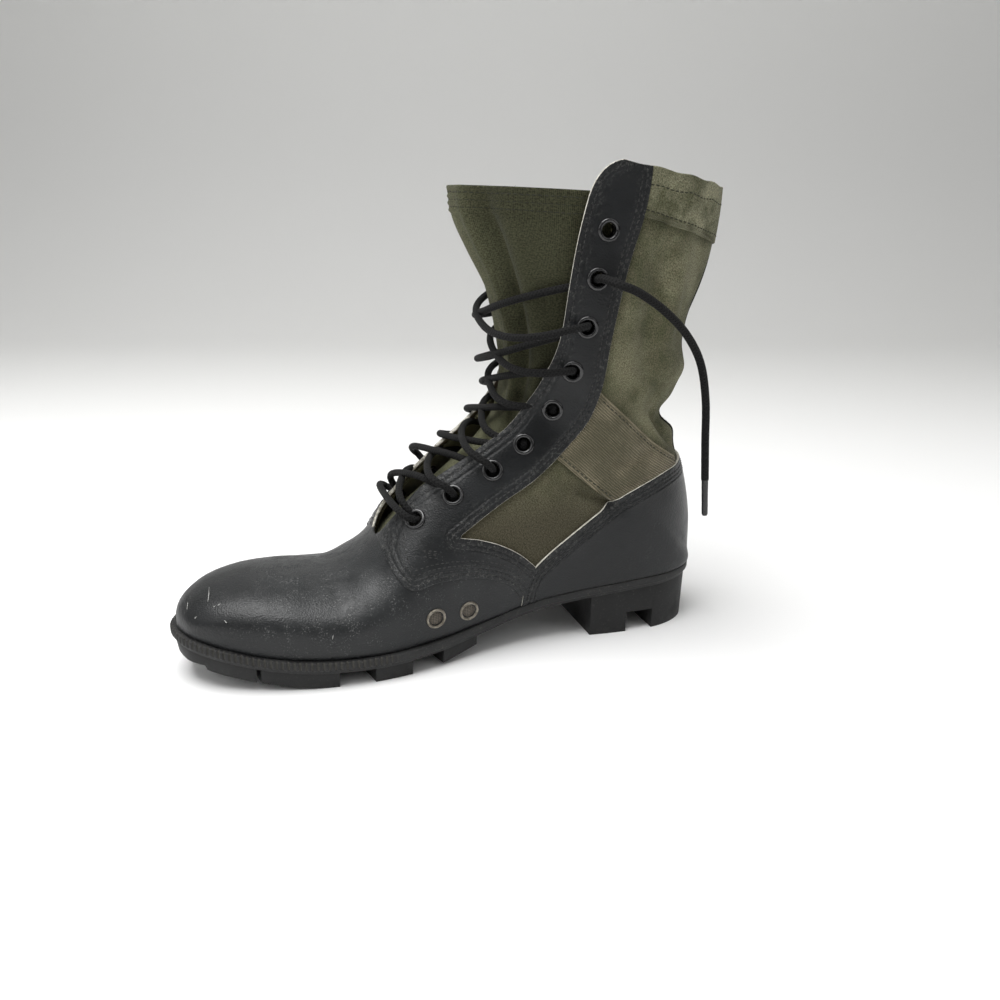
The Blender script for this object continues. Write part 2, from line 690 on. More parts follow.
def lathe(name, profile, sides, spot, normal, material):
    points, faces = [], []
    turn = normal.to_track_quat("Z", "Y").to_matrix()
    count = len(profile)
    for k in range(sides):
        angle = math.tau * k / sides
        for radius, height in profile:
            points.append(
                spot + turn @ Vector((radius * math.cos(angle), radius * math.sin(angle), height))
            )
    for k in range(sides):
        for i in range(count - 1):
            a, b = k * count + i, (k + 1) % sides * count + i
            faces.append((a, b, b + 1, a + 1))
    obj = meshObject(name, points, faces, [material])
    shape = bmesh.new()
    shape.from_mesh(obj.data)
    bmesh.ops.remove_doubles(shape, verts=shape.verts, dist=1e-6)
    bmesh.ops.recalc_face_normals(shape, faces=shape.faces)
    shape.to_mesh(obj.data)
    shape.free()
    obj.data.shade_smooth()
    return obj


# Materials
class Nodes:
    # short calls that add one node each to a material
    def __init__(self, name):
        self.material = bpy.data.materials.new(name)
        self.material.use_nodes = True
        self.tree = self.material.node_tree
        self.shader = self.tree.nodes["Principled BSDF"]

    def put(self, socket, value):
        if isinstance(value, bpy.types.NodeSocket):
            self.tree.links.new(value, socket)
        else:
            socket.default_value = value

    def add(self, kind, inputs=(), **settings):
        node = self.tree.nodes.new(kind)
        for key, value in settings.items():
            setattr(node, key, value)
        for key, value in dict(inputs).items():
            self.put(node.inputs[key], value)
        return node

    def place(self):
        return self.add("ShaderNodeTexCoord").outputs["Object"]

    def field(self, name):
        return self.add("ShaderNodeAttribute", attribute_name=name).outputs["Fac"]

    def calc(self, operation, a, b=0.0, clamp=False):
        return self.add("ShaderNodeMath", {0: a, 1: b}, operation=operation, use_clamp=clamp).outputs[0]

    def noise(self, vector, scale, detail=3.0, rough=0.55):
        inputs = {"Vector": vector, "Scale": scale, "Detail": detail, "Roughness": rough}
        return self.add("ShaderNodeTexNoise", inputs).outputs["Fac"]

    def cells(self, vector, scale, feature="F1"):
        node = self.add("ShaderNodeTexVoronoi", {"Vector": vector, "Scale": scale}, feature=feature)
        return node.outputs["Distance"]

    def span(self, value, low, high, start=0.0, end=1.0):
        inputs = {"Value": value, "From Min": low, "From Max": high, "To Min": start, "To Max": end}
        return self.add(
            "ShaderNodeMapRange", inputs, clamp=True, interpolation_type="SMOOTHSTEP"
        ).outputs[0]

    def mix(self, fac, a, b):
        node = self.add("ShaderNodeMix", data_type="RGBA")
        self.put(node.inputs["Factor"], fac)
        self.put(node.inputs["A"], a)
        self.put(node.inputs["B"], b)
        return node.outputs["Result"]

    def uv(self):
        return self.add("ShaderNodeCombineXYZ", {0: self.field("u"), 1: self.field("v")}).outputs[0]

    def bump(self, height, distance, strength=1.0, normal=None):
        node = self.add("ShaderNodeBump", {"Height": height, "Distance": distance, "Strength": strength})
        if normal is not None:
            self.tree.links.new(normal, node.inputs["Normal"])
        return node.outputs[0]

    def finish(self, colour, roughness, normal=None, **sockets):
        self.put(self.shader.inputs["Base Color"], colour)
        self.put(self.shader.inputs["Roughness"], roughness)
        if normal is not None:
            self.put(self.shader.inputs["Normal"], normal)
        for key, value in sockets.items():
            self.put(self.shader.inputs[key.replace("_", " ")], value)
        return self.material


def rgb(colour, factor=1.0):
    return (colour[0] * factor, colour[1] * factor, colour[2] * factor, 1.0)


def canvasMaterial(name, look):
    nodes = Nodes(name)
    place, uv = nodes.place(), nodes.uv()
    threads = {"Vector": uv, "Scale": look["weave"], "Distortion": 1.2, "Detail": 2.0, "Detail Scale": 3.0}
    warp = nodes.add("ShaderNodeTexWave", threads, bands_direction="X")
    weft = nodes.add("ShaderNodeTexWave", threads, bands_direction="Y")
    weave = nodes.calc("MULTIPLY", warp.outputs["Fac"], weft.outputs["Fac"])
    slub = nodes.noise(uv, look["slub"], 2.0, 0.75)
    patches = nodes.noise(place, look["patches"], 4.0, 0.6)
    fade = nodes.span(patches, 0.40, 0.62)
    colour = nodes.mix(fade, rgb(look["dark"]), rgb(look["light"]))
    mottle = nodes.span(nodes.noise(place, look["mottle"], 3.0, 0.7), 0.35, 0.7)
    colour = nodes.mix(nodes.calc("MULTIPLY", mottle, 0.45), colour, rgb(look["brown"]))
    grain = nodes.calc("ADD", nodes.calc("MULTIPLY", weave, 0.30), nodes.calc("MULTIPLY", slub, 0.90))
    soil = nodes.calc("MULTIPLY", nodes.span(nodes.field("edge"), 0.0, 0.006, 1.0, 0.0), look["soil"])
    colour = nodes.mix(soil, colour, rgb(look["dark"], 0.42))
    height = nodes.add("ShaderNodeSeparateXYZ", {0: place}).outputs[2]
    colour = nodes.mix(nodes.span(height, 0.070, 0.125, look["low"], 0.0), colour, rgb(look["brown"], 0.40))
    gaps = nodes.mix(look["shade"], colour, rgb(look["dark"], 0.04))
    colour = nodes.mix(nodes.span(grain, 0.36, 0.64), gaps, colour)
    normal = nodes.bump(grain, look["relief"], 0.7)
    normal = nodes.bump(nodes.noise(place, 70, 4.0, 0.6), 0.0014, 0.7, normal)
    return nodes.finish(
        colour, 0.93, normal, Sheen_Weight=0.06, Sheen_Roughness=0.5, Specular_IOR_Level=0.12
    )


def webbingMaterial(name, look):
    nodes = Nodes(name)
    place = nodes.place()
    across = nodes.calc("MULTIPLY", nodes.field("rib"), math.tau / look["pitch"])
    rib = nodes.calc("MULTIPLY_ADD", nodes.calc("SINE", across), 0.5)
    rib.node.inputs[2].default_value = 0.5
    fine = nodes.noise(nodes.uv(), 1100, 2.0, 0.7)
    tone = nodes.span(nodes.noise(place, 60, 4.0, 0.6), 0.35, 0.68)
    colour = nodes.mix(tone, rgb(look["dark"]), rgb(look["light"]))
    colour = nodes.mix(nodes.span(rib, 0.1, 0.8, 0.58, 0.0), colour, rgb(look["deep"]))
    colour = nodes.mix(nodes.span(fine, 0.3, 0.7, 0.35, 0.0), colour, rgb(look["deep"]))
    height = nodes.calc("ADD", rib, nodes.calc("MULTIPLY", fine, 0.5))
    normal = nodes.bump(height, look["relief"], 0.8)
    return nodes.finish(colour, 0.85, normal, Sheen_Weight=0.15, Specular_IOR_Level=0.25)


def leatherMaterial(name, look):
    nodes = Nodes(name)
    place = nodes.place()
    grain = nodes.cells(place, look["grain"])
    pores = nodes.noise(place, 1500, 2.0, 0.6)
    haze = nodes.span(nodes.noise(place, look["haziness"], 4.0, 0.6), 0.38, 0.72)
    speckle = nodes.span(nodes.noise(place, 1100, 3.0, 0.8), 0.56, 0.66)
    rubbed = nodes.span(nodes.noise(place, 130, 5.0, 0.7), 0.42, 0.66)
    wear = nodes.calc("MULTIPLY", nodes.field("scuff"), rubbed)
    worn = nodes.calc("MULTIPLY", wear, speckle, clamp=True)
    soft = nodes.calc("MULTIPLY", nodes.field("scuff"), 0.45, clamp=True)
    rows = None
    for distance in look["rows"]:
        away = nodes.calc("ABSOLUTE", nodes.calc("SUBTRACT", nodes.field("edge"), distance))
        row = nodes.span(away, 0.0, 0.0011, 1.0, 0.0)
        rows = row if rows is None else nodes.calc("MAXIMUM", rows, row)
    dusty = nodes.span(nodes.field("edge"), 0.0, look["dust"], 1.0, 0.0)
    dust = nodes.calc("MULTIPLY", dusty, nodes.span(nodes.noise(place, 520, 4.0, 0.75), 0.52, 0.68))
    dust = nodes.calc("MULTIPLY", dust, 0.5)
    colour = nodes.mix(haze, rgb(look["base"]), rgb(look["base"], 1.7))
    colour = nodes.mix(soft, colour, rgb(look["haze"]))
    colour = nodes.mix(worn, colour, rgb(look["scuff"]))
    colour = nodes.mix(dust, colour, rgb(look["dustTone"]))
    rough = nodes.span(haze, 0.0, 1.0, look["rough"], look["rough"] + 0.10)
    rough = nodes.calc("ADD", rough, nodes.calc("MULTIPLY", wear, 0.25), clamp=True)
    height = nodes.calc("ADD", nodes.calc("MULTIPLY", grain, 0.8), nodes.calc("MULTIPLY", pores, 0.35))
    creased = nodes.span(nodes.field("edge"), 0.002, 0.013, 1.0, 0.0)  # rougher near the sewn edges
    wrinkles = nodes.calc("MULTIPLY", nodes.noise(place, look["wrinkle"], 4.0, 0.7), creased)
    normal = nodes.bump(height, 0.00020, look["relief"])
    normal = nodes.bump(wrinkles, 0.0010, 0.8, normal)
    normal = nodes.bump(nodes.noise(place, 120, 3.0, 0.55), 0.0005, 0.35, normal)
    if rows is not None:
        normal = nodes.bump(nodes.calc("MULTIPLY", rows, -1.0), 0.00035, 0.8, normal)
    return nodes.finish(colour, rough, normal, Specular_IOR_Level=look["shine"])


def plainMaterial(name, look):
    nodes = Nodes(name)
    place = nodes.place()
    tone = nodes.span(nodes.noise(place, look["scale"], 4.0, 0.6), 0.3, 0.7)
    colour = nodes.mix(tone, rgb(look["dark"]), rgb(look["light"]))
    fine = nodes.noise(place, look["fine"], 3.0, 0.6)
    rough = nodes.span(fine, 0.3, 0.7, look["rough"] - 0.06, look["rough"] + 0.06)
    normal = nodes.bump(fine, look["relief"], 0.6)
    return nodes.finish(
        colour, rough, normal, Metallic=look.get("metal", 0.0), Specular_IOR_Level=look.get("shine", 0.5)
    )


def facingEdgeMaterial(name, look):
    # pale where the cut is bare, inked black along the wing's low edge
    nodes = Nodes(name)
    fine = nodes.noise(nodes.place(), 700, 4.0, 0.7)
    raw = nodes.mix(nodes.span(fine, 0.35, 0.65), rgb(look["dark"]), rgb(look["light"]))
    shown = nodes.span(nodes.field("bare"), 0.0012, 0.0030, 1.0, 0.0)
    return nodes.finish(nodes.mix(shown, rgb(look["ink"]), raw), 0.85)


def rubberMaterial(name, look):
    nodes = Nodes(name)
    place = nodes.place()
    tone = nodes.span(nodes.noise(place, 60, 4.0, 0.6), 0.35, 0.7)
    colour = nodes.mix(tone, rgb(look["dark"]), rgb(look["light"]))
    speckle = nodes.span(nodes.noise(place, 900, 3.0, 0.75), 0.58, 0.72)
    colour = nodes.mix(nodes.calc("MULTIPLY", speckle, look["speckle"]), colour, rgb(look["dust"]))
    colour = nodes.mix(nodes.calc("MULTIPLY", nodes.field("tooth"), 0.62), colour, rgb(look["dust"], 0.75))
    height = nodes.add("ShaderNodeSeparateXYZ", {0: place}).outputs[2]
    low = nodes.span(height, 0.0, 0.006, 1.0, 0.0)
    ground = nodes.calc("MULTIPLY", low, nodes.span(nodes.noise(place, 200, 4.0, 0.7), 0.4, 0.65))
    colour = nodes.mix(nodes.calc("MULTIPLY", ground, 0.14), colour, rgb(look["dust"]))
    normal = nodes.bump(nodes.noise(place, 1300, 3.0, 0.7), 0.00015, 0.7)
    normal = nodes.bump(nodes.noise(place, 140, 3.0, 0.5), 0.0004, 0.3, normal)
    return nodes.finish(colour, nodes.span(tone, 0.0, 1.0, 0.55, 0.70), normal, Specular_IOR_Level=0.35)


def braidMaterial(name, look):
    nodes = Nodes(name)
    along = nodes.calc("MULTIPLY", nodes.field("u"), math.tau / look["pitch"])
    turnsRound = nodes.calc("MULTIPLY", nodes.field("v"), math.tau * look["strands"])
    one = nodes.calc("SINE", nodes.calc("ADD", along, turnsRound))
    two = nodes.calc("SINE", nodes.calc("SUBTRACT", along, turnsRound))
    height = nodes.calc("MAXIMUM", one, two)
    fuzz = nodes.noise(nodes.place(), 2600, 2.0, 0.7)
    colour = nodes.mix(nodes.span(height, -0.2, 1.0), rgb(look["dark"]), rgb(look["light"]))
    colour = nodes.mix(nodes.span(fuzz, 0.4, 0.75, 0.0, 0.3), colour, rgb(look["light"], 1.6))
    normal = nodes.bump(nodes.calc("ADD", height, nodes.calc("MULTIPLY", fuzz, 0.8)), 0.00022, 0.8)
    return nodes.finish(colour, 0.85, normal, Sheen_Weight=0.02, Specular_IOR_Level=0.22)


def screenMaterial(name, look):
    nodes = Nodes(name)
    place = nodes.place()
    wave = {"Vector": place, "Scale": look["mesh"]}
    one = nodes.add("ShaderNodeTexWave", wave, bands_direction="X").outputs["Fac"]
    two = nodes.add("ShaderNodeTexWave", wave, bands_direction="Z").outputs["Fac"]
    wires = nodes.calc("MAXIMUM", one, two)
    colour = nodes.mix(nodes.span(wires, 0.55, 0.85), rgb(look["dark"]), rgb(look["light"]))
    normal = nodes.bump(wires, 0.0003, 0.9)
    return nodes.finish(colour, 0.5, normal, Metallic=nodes.span(wires, 0.5, 0.8, 0.0, 0.9))


def makeMaterials():
    olive = {
        "dark": (0.128, 0.131, 0.073),
        "light": (0.275, 0.269, 0.166),
        "brown": (0.252, 0.226, 0.148),
        "weave": 640,
        "slub": 1250,  # thick and thin places in the yarn
        "patches": 26,  # large faded areas
        "mottle": 150,
        "shade": 0.74,  # how dark the gaps between the yarns are
        "relief": 0.0006,
        "soil": 0.35,
        "low": 1.0,  # how much darker the panel near the sole is
    }
    made = {
        "canvas": canvasMaterial("oliveCanvas", olive),
        "band": canvasMaterial(
            "bandCanvas",
            {**olive, "light": (0.420, 0.410, 0.270), "brown": (0.360, 0.340, 0.225), "soil": 0.25},
        ),
        "tongue": canvasMaterial(
            "tongueCanvas",
            {
                **olive,
                "light": (0.215, 0.220, 0.128),
                "brown": (0.205, 0.195, 0.122),
                "soil": 0.90,
                "low": 0.0,
            },
        ),
        "lining": plainMaterial(
            "lining",
            {
                "dark": (0.11, 0.105, 0.066),
                "light": (0.19, 0.175, 0.115),
                "scale": 60,
                "fine": 1200,
                "rough": 0.92,
                "relief": 0.0003,
            },
        ),
        "strap": webbingMaterial(
            "webbing",
            {
                "dark": (0.150, 0.130, 0.080),
                "light": (0.295, 0.250, 0.165),
                "deep": (0.042, 0.040, 0.024),
                "pitch": 0.00128,
                "relief": 0.0008,
            },
        ),
        "backstay": webbingMaterial(
            "backWebbing",
            {
                "dark": (0.020, 0.021, 0.016),
                "light": (0.034, 0.035, 0.026),
                "deep": (0.010, 0.010, 0.008),
                "pitch": 0.0011,
                "relief": 0.0004,
            },
        ),
        "rawEdge": plainMaterial(
            "rawEdge",
            {
                "dark": (0.42, 0.40, 0.34),
                "light": (0.66, 0.64, 0.57),
                "scale": 300,
                "fine": 1500,
                "rough": 0.85,
                "relief": 0.0002,
            },
        ),
        "facingEdge": facingEdgeMaterial(
            "facingEdge",
            {"dark": (0.30, 0.28, 0.23), "light": (0.70, 0.68, 0.61), "ink": (0.014, 0.014, 0.014)},
        ),
        "scratch": plainMaterial(
            "scratch",
            {
                "dark": (0.30, 0.30, 0.29),
                "light": (0.50, 0.50, 0.48),
                "scale": 900,
                "fine": 1500,
                "rough": 0.8,
                "relief": 0.0001,
            },
        ),
        "darkEdge": plainMaterial(
            "darkEdge",
            {
                "dark": (0.012, 0.012, 0.012),
                "light": (0.03, 0.03, 0.029),
                "scale": 300,
                "fine": 1500,
                "rough": 0.7,
                "relief": 0.0002,
            },
        ),
        "suede": plainMaterial(
            "suede",
            {
                "dark": (0.17, 0.135, 0.10),
                "light": (0.32, 0.26, 0.195),
                "scale": 140,
                "fine": 1800,
                "rough": 0.95,
                "relief": 0.0004,
            },
        ),
        "thread": plainMaterial(
            "thread",
            {
                "dark": (0.012, 0.012, 0.012),
                "light": (0.042, 0.042, 0.040),
                "scale": 500,
                "fine": 2500,
                "rough": 0.75,
                "relief": 0.0002,
            },
        ),
        "oliveThread": plainMaterial(
            "oliveThread",
            {
                "dark": (0.016, 0.017, 0.010),
                "light": (0.034, 0.035, 0.020),
                "scale": 500,
                "fine": 2500,
                "rough": 0.85,
                "relief": 0.0002,
            },
        ),
        "insole": plainMaterial(
            "insoleFabric",
            {
                "dark": (0.06, 0.055, 0.04),
                "light": (0.13, 0.12, 0.09),
                "scale": 80,
                "fine": 1500,
                "rough": 0.95,
                "relief": 0.0004,
            },
        ),
        "eyelet": plainMaterial(
            "eyeletPaint",
            {
                "dark": (0.006, 0.006, 0.0065),
                "light": (0.015, 0.015, 0.0155),
                "scale": 400,
                "fine": 1500,
                "rough": 0.21,
                "relief": 0.00005,
                "shine": 0.70,
            },
        ),
        "brass": plainMaterial(
            "ventRing",
            {
                "dark": (0.13, 0.115, 0.09),
                "light": (0.30, 0.275, 0.23),
                "scale": 500,
                "fine": 1500,
                "rough": 0.5,
                "relief": 0.0001,
                "metal": 0.7,
            },
        ),
        "screen": screenMaterial(
            "ventScreen", {"dark": (0.014, 0.012, 0.010), "light": (0.16, 0.14, 0.115), "mesh": 330}
        ),
        "lace": braidMaterial(
            "laceBraid",
            {
                "dark": (0.0022, 0.0022, 0.0022),
                "light": (0.0085, 0.0085, 0.0085),
                "pitch": 0.0019,
                "strands": 4,
            },
        ),
        "aglet": plainMaterial(
            "aglet",
            {
                "dark": (0.010, 0.010, 0.010),
                "light": (0.018, 0.018, 0.018),
                "scale": 200,
                "fine": 900,
                "rough": 0.3,
                "relief": 0.00005,
            },
        ),
        "rubber": rubberMaterial(
            "soleRubber",
            {
                "dark": (0.012, 0.012, 0.0122),
                "light": (0.024, 0.024, 0.024),
                "dust": (0.15, 0.143, 0.125),
                "speckle": 0.38,
            },
        ),
        "lugRubber": rubberMaterial(
            "lugRubber",
            {
                "dark": (0.0065, 0.0065, 0.0067),
                "light": (0.0130, 0.0130, 0.0130),
                "dust": (0.12, 0.115, 0.105),
                "speckle": 0.22,
            },
        ),
    }
    leather = {
        "base": (0.0044, 0.0050, 0.0056),
        "haze": (0.038, 0.040, 0.041),
        "scuff": (0.24, 0.24, 0.235),
        "dustTone": (0.13, 0.13, 0.12),
        "rough": 0.33,
        "grain": 1150,
        "relief": 0.75,
        "shine": 0.34,
        "rows": (),
        "dust": 0.004,
        "haziness": 34,
        "wrinkle": 330,
    }
    made["vamp"] = leatherMaterial("vampLeather", leather)
    made["facing"] = leatherMaterial("facingLeather", {**leather, "rows": facing["rows"], "dust": 0.010})
    made["counter"] = leatherMaterial("counterLeather", {**leather, "rows": counter["rows"], "dust": 0.012})
    return made


# Camera, floor and light
view = {
    "spot": (-0.121, -0.478, 0.239),
    "yaw": -17.6,
    "pitch": 17.8,
    "focal": 32.4,
}
studio = {
    "floorTone": (0.89, 0.89, 0.89),
    "wallTone": (0.79, 0.79, 0.78),
    "topTone": (0.99, 0.99, 0.97),
    "roomLow": (0.032, 0.032, 0.033),  # level with the boot, on the camera's side
    "roomHigh": (0.58, 0.58, 0.57),  # overhead
    "roomBack": (0.45, 0.45, 0.45),
}


def makeCamera():
    lens = bpy.data.cameras.new("camera")
    lens.lens = view["focal"]
    lens.sensor_width = 36
    lens.clip_start = 0.01
    lens.clip_end = 20
    camera = bpy.data.objects.new("camera", lens)
    camera.location = view["spot"]
    camera.rotation_euler = (math.radians(90 - view["pitch"]), 0, math.radians(view["yaw"]))
    bpy.context.scene.collection.objects.link(camera)
    bpy.context.scene.camera = camera


def areaLight(name, spot, aim, size, power, tone=(1, 1, 1)):
    light = bpy.data.lights.new(name, "AREA")
    light.shape = "RECTANGLE"
    light.size, light.size_y = size
    light.energy = power
    light.color = tone
    obj = bpy.data.objects.new(name, light)
    obj.location = spot
    obj.rotation_euler = (Vector(aim) - Vector(spot)).to_track_quat("-Z", "Y").to_euler()
    bpy.context.scene.collection.objects.link(obj)


def makeStudio():
    # plain whites, then a floor that sweeps up into a backdrop
    bpy.context.scene.view_settings.view_transform = "Standard"
    points, faces = [], []
    profile = [(-3.0, 0.0), (1.2, 0.0)]
    profile += [
        (1.2 + 0.8 * math.sin(a), 0.8 - 0.8 * math.cos(a)) for a in np.linspace(0.1, math.pi / 2, 12)
    ]
    profile.append((2.0, 4.0))
    for y, z in profile:
        points += [(-4.0, y, z), (4.0, y, z)]
    for i in range(len(profile) - 1):
        faces.append((2 * i, 2 * i + 1, 2 * i + 3, 2 * i + 2))
    nodes = Nodes("paper")
    split = nodes.add("ShaderNodeSeparateXYZ", {0: nodes.place()})
    wall = nodes.mix(
        nodes.span(split.outputs[2], 0.30, 1.30), rgb(studio["wallTone"]), rgb(studio["topTone"])
    )
    white = nodes.mix(nodes.span(split.outputs[1], -0.1, 0.95), rgb(studio["floorTone"]), wall)
    backdrop = meshObject("backdrop", points, faces, [nodes.finish(white, 0.9, Specular_IOR_Level=0.1)])
    backdrop.rotation_euler = (0, 0, math.radians(view["yaw"]))
    world = bpy.data.worlds.new("softRoom")
    bpy.context.scene.world = world
    world.use_nodes = True
    tree = world.node_tree
    place = tree.nodes.new("ShaderNodeTexCoord").outputs["Generated"]
    split = tree.nodes.new("ShaderNodeSeparateXYZ")
    tree.links.new(place, split.inputs[0])
    tone = None
    for socket, low, high, near, far in (
        ("Y", -0.2, 0.6, "roomLow", "roomBack"), ("Z", 0.15, 0.75, None, "roomHigh")
    ):
        span = tree.nodes.new("ShaderNodeMapRange")
        span.inputs["From Min"].default_value = low
        span.inputs["From Max"].default_value = high
        tree.links.new(split.outputs[socket], span.inputs["Value"])
        mix = tree.nodes.new("ShaderNodeMix")
        mix.data_type = "RGBA"
        tree.links.new(span.outputs[0], mix.inputs["Factor"])
        if tone is None:
            mix.inputs["A"].default_value = rgb(studio[near])
        else:
            tree.links.new(tone, mix.inputs["A"])
        mix.inputs["B"].default_value = rgb(studio[far])
        tone = mix.outputs["Result"]
    tree.links.new(tone, tree.nodes["Background"].inputs["Color"])
    areaLight("topPanel", (-0.30, -0.05, 1.30), (-0.05, 0, 0.05), (1.2, 0.9), 22)
    areaLight("leftPanel", (-1.3, -0.5, 0.85), (0, 0, 0.1), (0.9, 0.9), 4)
    areaLight("rightPanel", (1.2, -1.2, 1.0), (0, 0, 0.1), (0.8, 0.8), 2.5)


# Lace
lace = {
    "radius": 0.0022,
    "strandRadius": 0.0020,
    "aside": 0.0022,
    "square": 0.75,
    "lift": 0.0062,  # crossing line above the upper's surface at an eyelet
    "dive": -0.0050,  # how deep an end goes into its eyelet
    "lean": (0.0016, -0.0012, 0.0015, 0.0010, -0.0014, 0.0012, 0.0010),  # between the strands of a crossing
    "onTop": {(inner, row) for row in (3, 4, 7, 8)} | {(outer, row) for row in range(3, 9)},
    "endPoints": [
        (0.752, -0.0590, 0.773),
        (0.785, -0.0610, 0.757),
        (0.835, -0.0600, 0.720),
        (0.885, -0.0550, 0.672),
        (0.925, -0.0500, 0.610),
        (0.946, -0.0470, 0.530),
        (0.954, -0.0455, 0.440),
        (0.960, -0.0450, 0.355),
    ],
    "aglet": 0.022,
    "agletRadius": 0.0019,
}


def laceStrand(ends, middle):
    # from eyelet to eyelet in a bow over the tongue
    foot = ((ends[0].x + ends[1].x) / 2, (ends[0].z + ends[1].z) / 2)
    line = []
    for turn in np.radians(np.linspace(-90, 90, 25)):
        end = ends[0] if turn < 0 else ends[1]
        away = 1 - max(math.cos(turn), 0.0) ** lace["square"]
        aside = abs(math.sin(turn)) ** lace["square"]
        line.append(
            (
                middle[0] + (foot[0] - middle[0]) * away + (end.x - foot[0]) * aside,
                end.y * aside,
                middle[1] + (foot[1] - middle[1]) * away + (end.z - foot[1]) * aside,
            )
        )
    return line


def makeLace(seats, materials):
    def end(side, row, shift, top):
        spot, normal = seats[side, row]
        depth = lace["lift"] if top else -(boot["wall"] + lace["strandRadius"] + 0.0006)
        return spot + Vector((0, 0, shift)) + normal * depth

    def dive(side, row, shift, top):
        spot, normal = seats[side, row]
        depths = (0.0028, lace["dive"]) if top else (-0.0036, 0.0004)
        return [tuple(spot + Vector((0, 0, shift * 0.4)) + normal * depth) for depth in depths]

    def strand(name, first, second, bow):
        # first and second: side, row, shift, and whether that end lies on the facing or under it
        line = laceStrand((end(*first), end(*second)), bow)
        line = dive(*first)[::-1] + line[1:-1] + dive(*second)
        return tubeMesh(name, smoothLine(line, 3), lace["strandRadius"], 12, materials["lace"])

    bows = sideView(laceBows)
    aside = lace["aside"]
    for number, bow in enumerate(bows[:-1], 1):
        high, low = number + 1, number + 2
        pairs = (("a", inner, outer), ("b", outer, inner))
        for letter, one, two in pairs:
            lean = lace["lean"][number - 1] * (1 if letter == "a" else -1)
            first = (one, high, -aside, False)
            second = (two, low, aside, (two, low) in lace["onTop"])
            piece = strand(
                f"laceStrand{number}{letter}", first, second, (bow[0] + lean, bow[1] + lean * 1.6)
            )
            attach(piece, "root")
            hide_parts(f"lace_cross_{number}")
    bar = strand("laceBar", (inner, 9, -aside, True), (outer, 9, -aside, True), bows[-1])
    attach(bar, "root")
    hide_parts("lace_bar")


def makeLaceEnd(seats, materials):
    spot, normal = seats[inner, 2]
    points = [tuple(spot + normal * depth) for depth in (-0.0045, 0.0010)]
    points.append(tuple(spot + normal * 0.0062 + Vector((0.0022, 0, 0.0004))))
    points += [(atX(x), y, atZ(z)) for x, y, z in lace["endPoints"]]
    line = smoothLine(points, 10)
    tube = tubeMesh("laceEnd", line, lace["radius"], 14, materials["lace"])
    end, ahead = Vector(line[-1]), Vector(line[-1] - line[-2]).normalized()
    aglet = lathe(
        "laceAglet",
        [
            (0.0, -0.0004),
            (lace["agletRadius"] + 0.0002, -0.0004),
            (lace["agletRadius"] + 0.0002, 0.0006),
            (lace["agletRadius"], 0.0010),
            (lace["agletRadius"] * 0.92, lace["aglet"] - 0.001),
            (lace["agletRadius"] * 0.7, lace["aglet"]),
            (0.0, lace["aglet"]),
        ],
        16,
        end,
        ahead,
        materials["aglet"],
    )
    for piece, node, slot in ((tube, "lace_end", "lace"), (aglet, "lace_tip", "aglet")):
        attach(piece, "root")
        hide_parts(node)


# Upper
facing = {
    "thick": 0.0021,
    "gap": 0.0002,
    "rows": (0.0026, 0.0052),
    "round": 0.0005,
    # stitch rows: the edge that they follow and how far in they lie
    "seams": (
        ("keep", (0.0026,)), ("facingBack", (0.0024, 0.0050)), ("wingLow", (0.0022, 0.0045, 0.0068, 0.0091))
    ),
}
vamp = {"thick": 0.0013, "gap": 0.0002, "round": 0.0005}
counter = {"thick": 0.0018, "gap": 0.0002, "rows": (0.0028, 0.0052, 0.0076), "round": 0.0006}
band = {"thick": 0.0011, "gap": 0.0002, "round": 0.0005}
strap = {"thick": 0.0011, "gap": 0.0002, "round": 0.0004}
backstay = {"thick": 0.0008, "gap": 0.0002, "half": 0.0088, "round": 0.0003}
leatherStitch = {"length": 0.0018, "gap": 0.0010, "wide": 0.0006, "high": 0.00030}
canvasStitch = {"length": 0.0023, "gap": 0.0008, "wide": 0.0007, "high": 0.00022}

# Worn places: share of length, share of height, reach in metres, strength
scuffPlaces = [
    (0.06, 0.16, 0.012, 0.2),
    (0.11, 0.175, 0.020, 0.35),
    (0.16, 0.13, 0.014, 0.30),
    (0.25, 0.125, 0.018, 0.45),
    (0.20, 0.175, 0.026, 0.9),
    (0.27, 0.175, 0.026, 1.0),
    (0.33, 0.180, 0.024, 0.9),
    (0.36, 0.155, 0.014, 0.5),
    (0.42, 0.200, 0.018, 0.6),
    (0.50, 0.180, 0.016, 0.6),
    (0.58, 0.160, 0.012, 0.5),
    (0.70, 0.240, 0.012, 0.3),
    (0.90, 0.200, 0.022, 0.25),
]


# Scratches on the vamp, box of stitches at the wing's front corner, and frayed threads at the collar
scratches = [
    [(0.070, 0.168), (0.076, 0.186)],
    [(0.081, 0.181), (0.085, 0.190)],
    [(0.094, 0.150), (0.098, 0.146)],
    [(0.262, 0.108), (0.264, 0.116)],
    [(0.036, 0.150), (0.039, 0.166)],
]
tackLines = [
    [(0.428, 0.252), (0.446, 0.250), (0.464, 0.248)],
    [(0.427, 0.240), (0.445, 0.238), (0.463, 0.236)],
    [(0.428, 0.252), (0.445, 0.244), (0.463, 0.236)],
    [(0.427, 0.240), (0.446, 0.244), (0.464, 0.248)],
]
scratch = {"thin": 0.00005, "thick": 0.00016, "sides": 5}
fray = {"count": 190, "long": 0.0019, "thin": 0.00007, "tongueCount": 70}


def scratchRadius(t):
    # thin at both ends
    return scratch["thin"] + scratch["thick"] * math.sin(math.pi * t)


def onSurface(surface, points, side, lift):
    # rows of place and normal for a line drawn in the side view
    rows = []
    for x, z in smoothLine(sideView(points), 8):
        spot, normal = surface.meet(side, x, z)
        rows.append([*(spot + normal * lift), *normal])
    return np.array(rows)


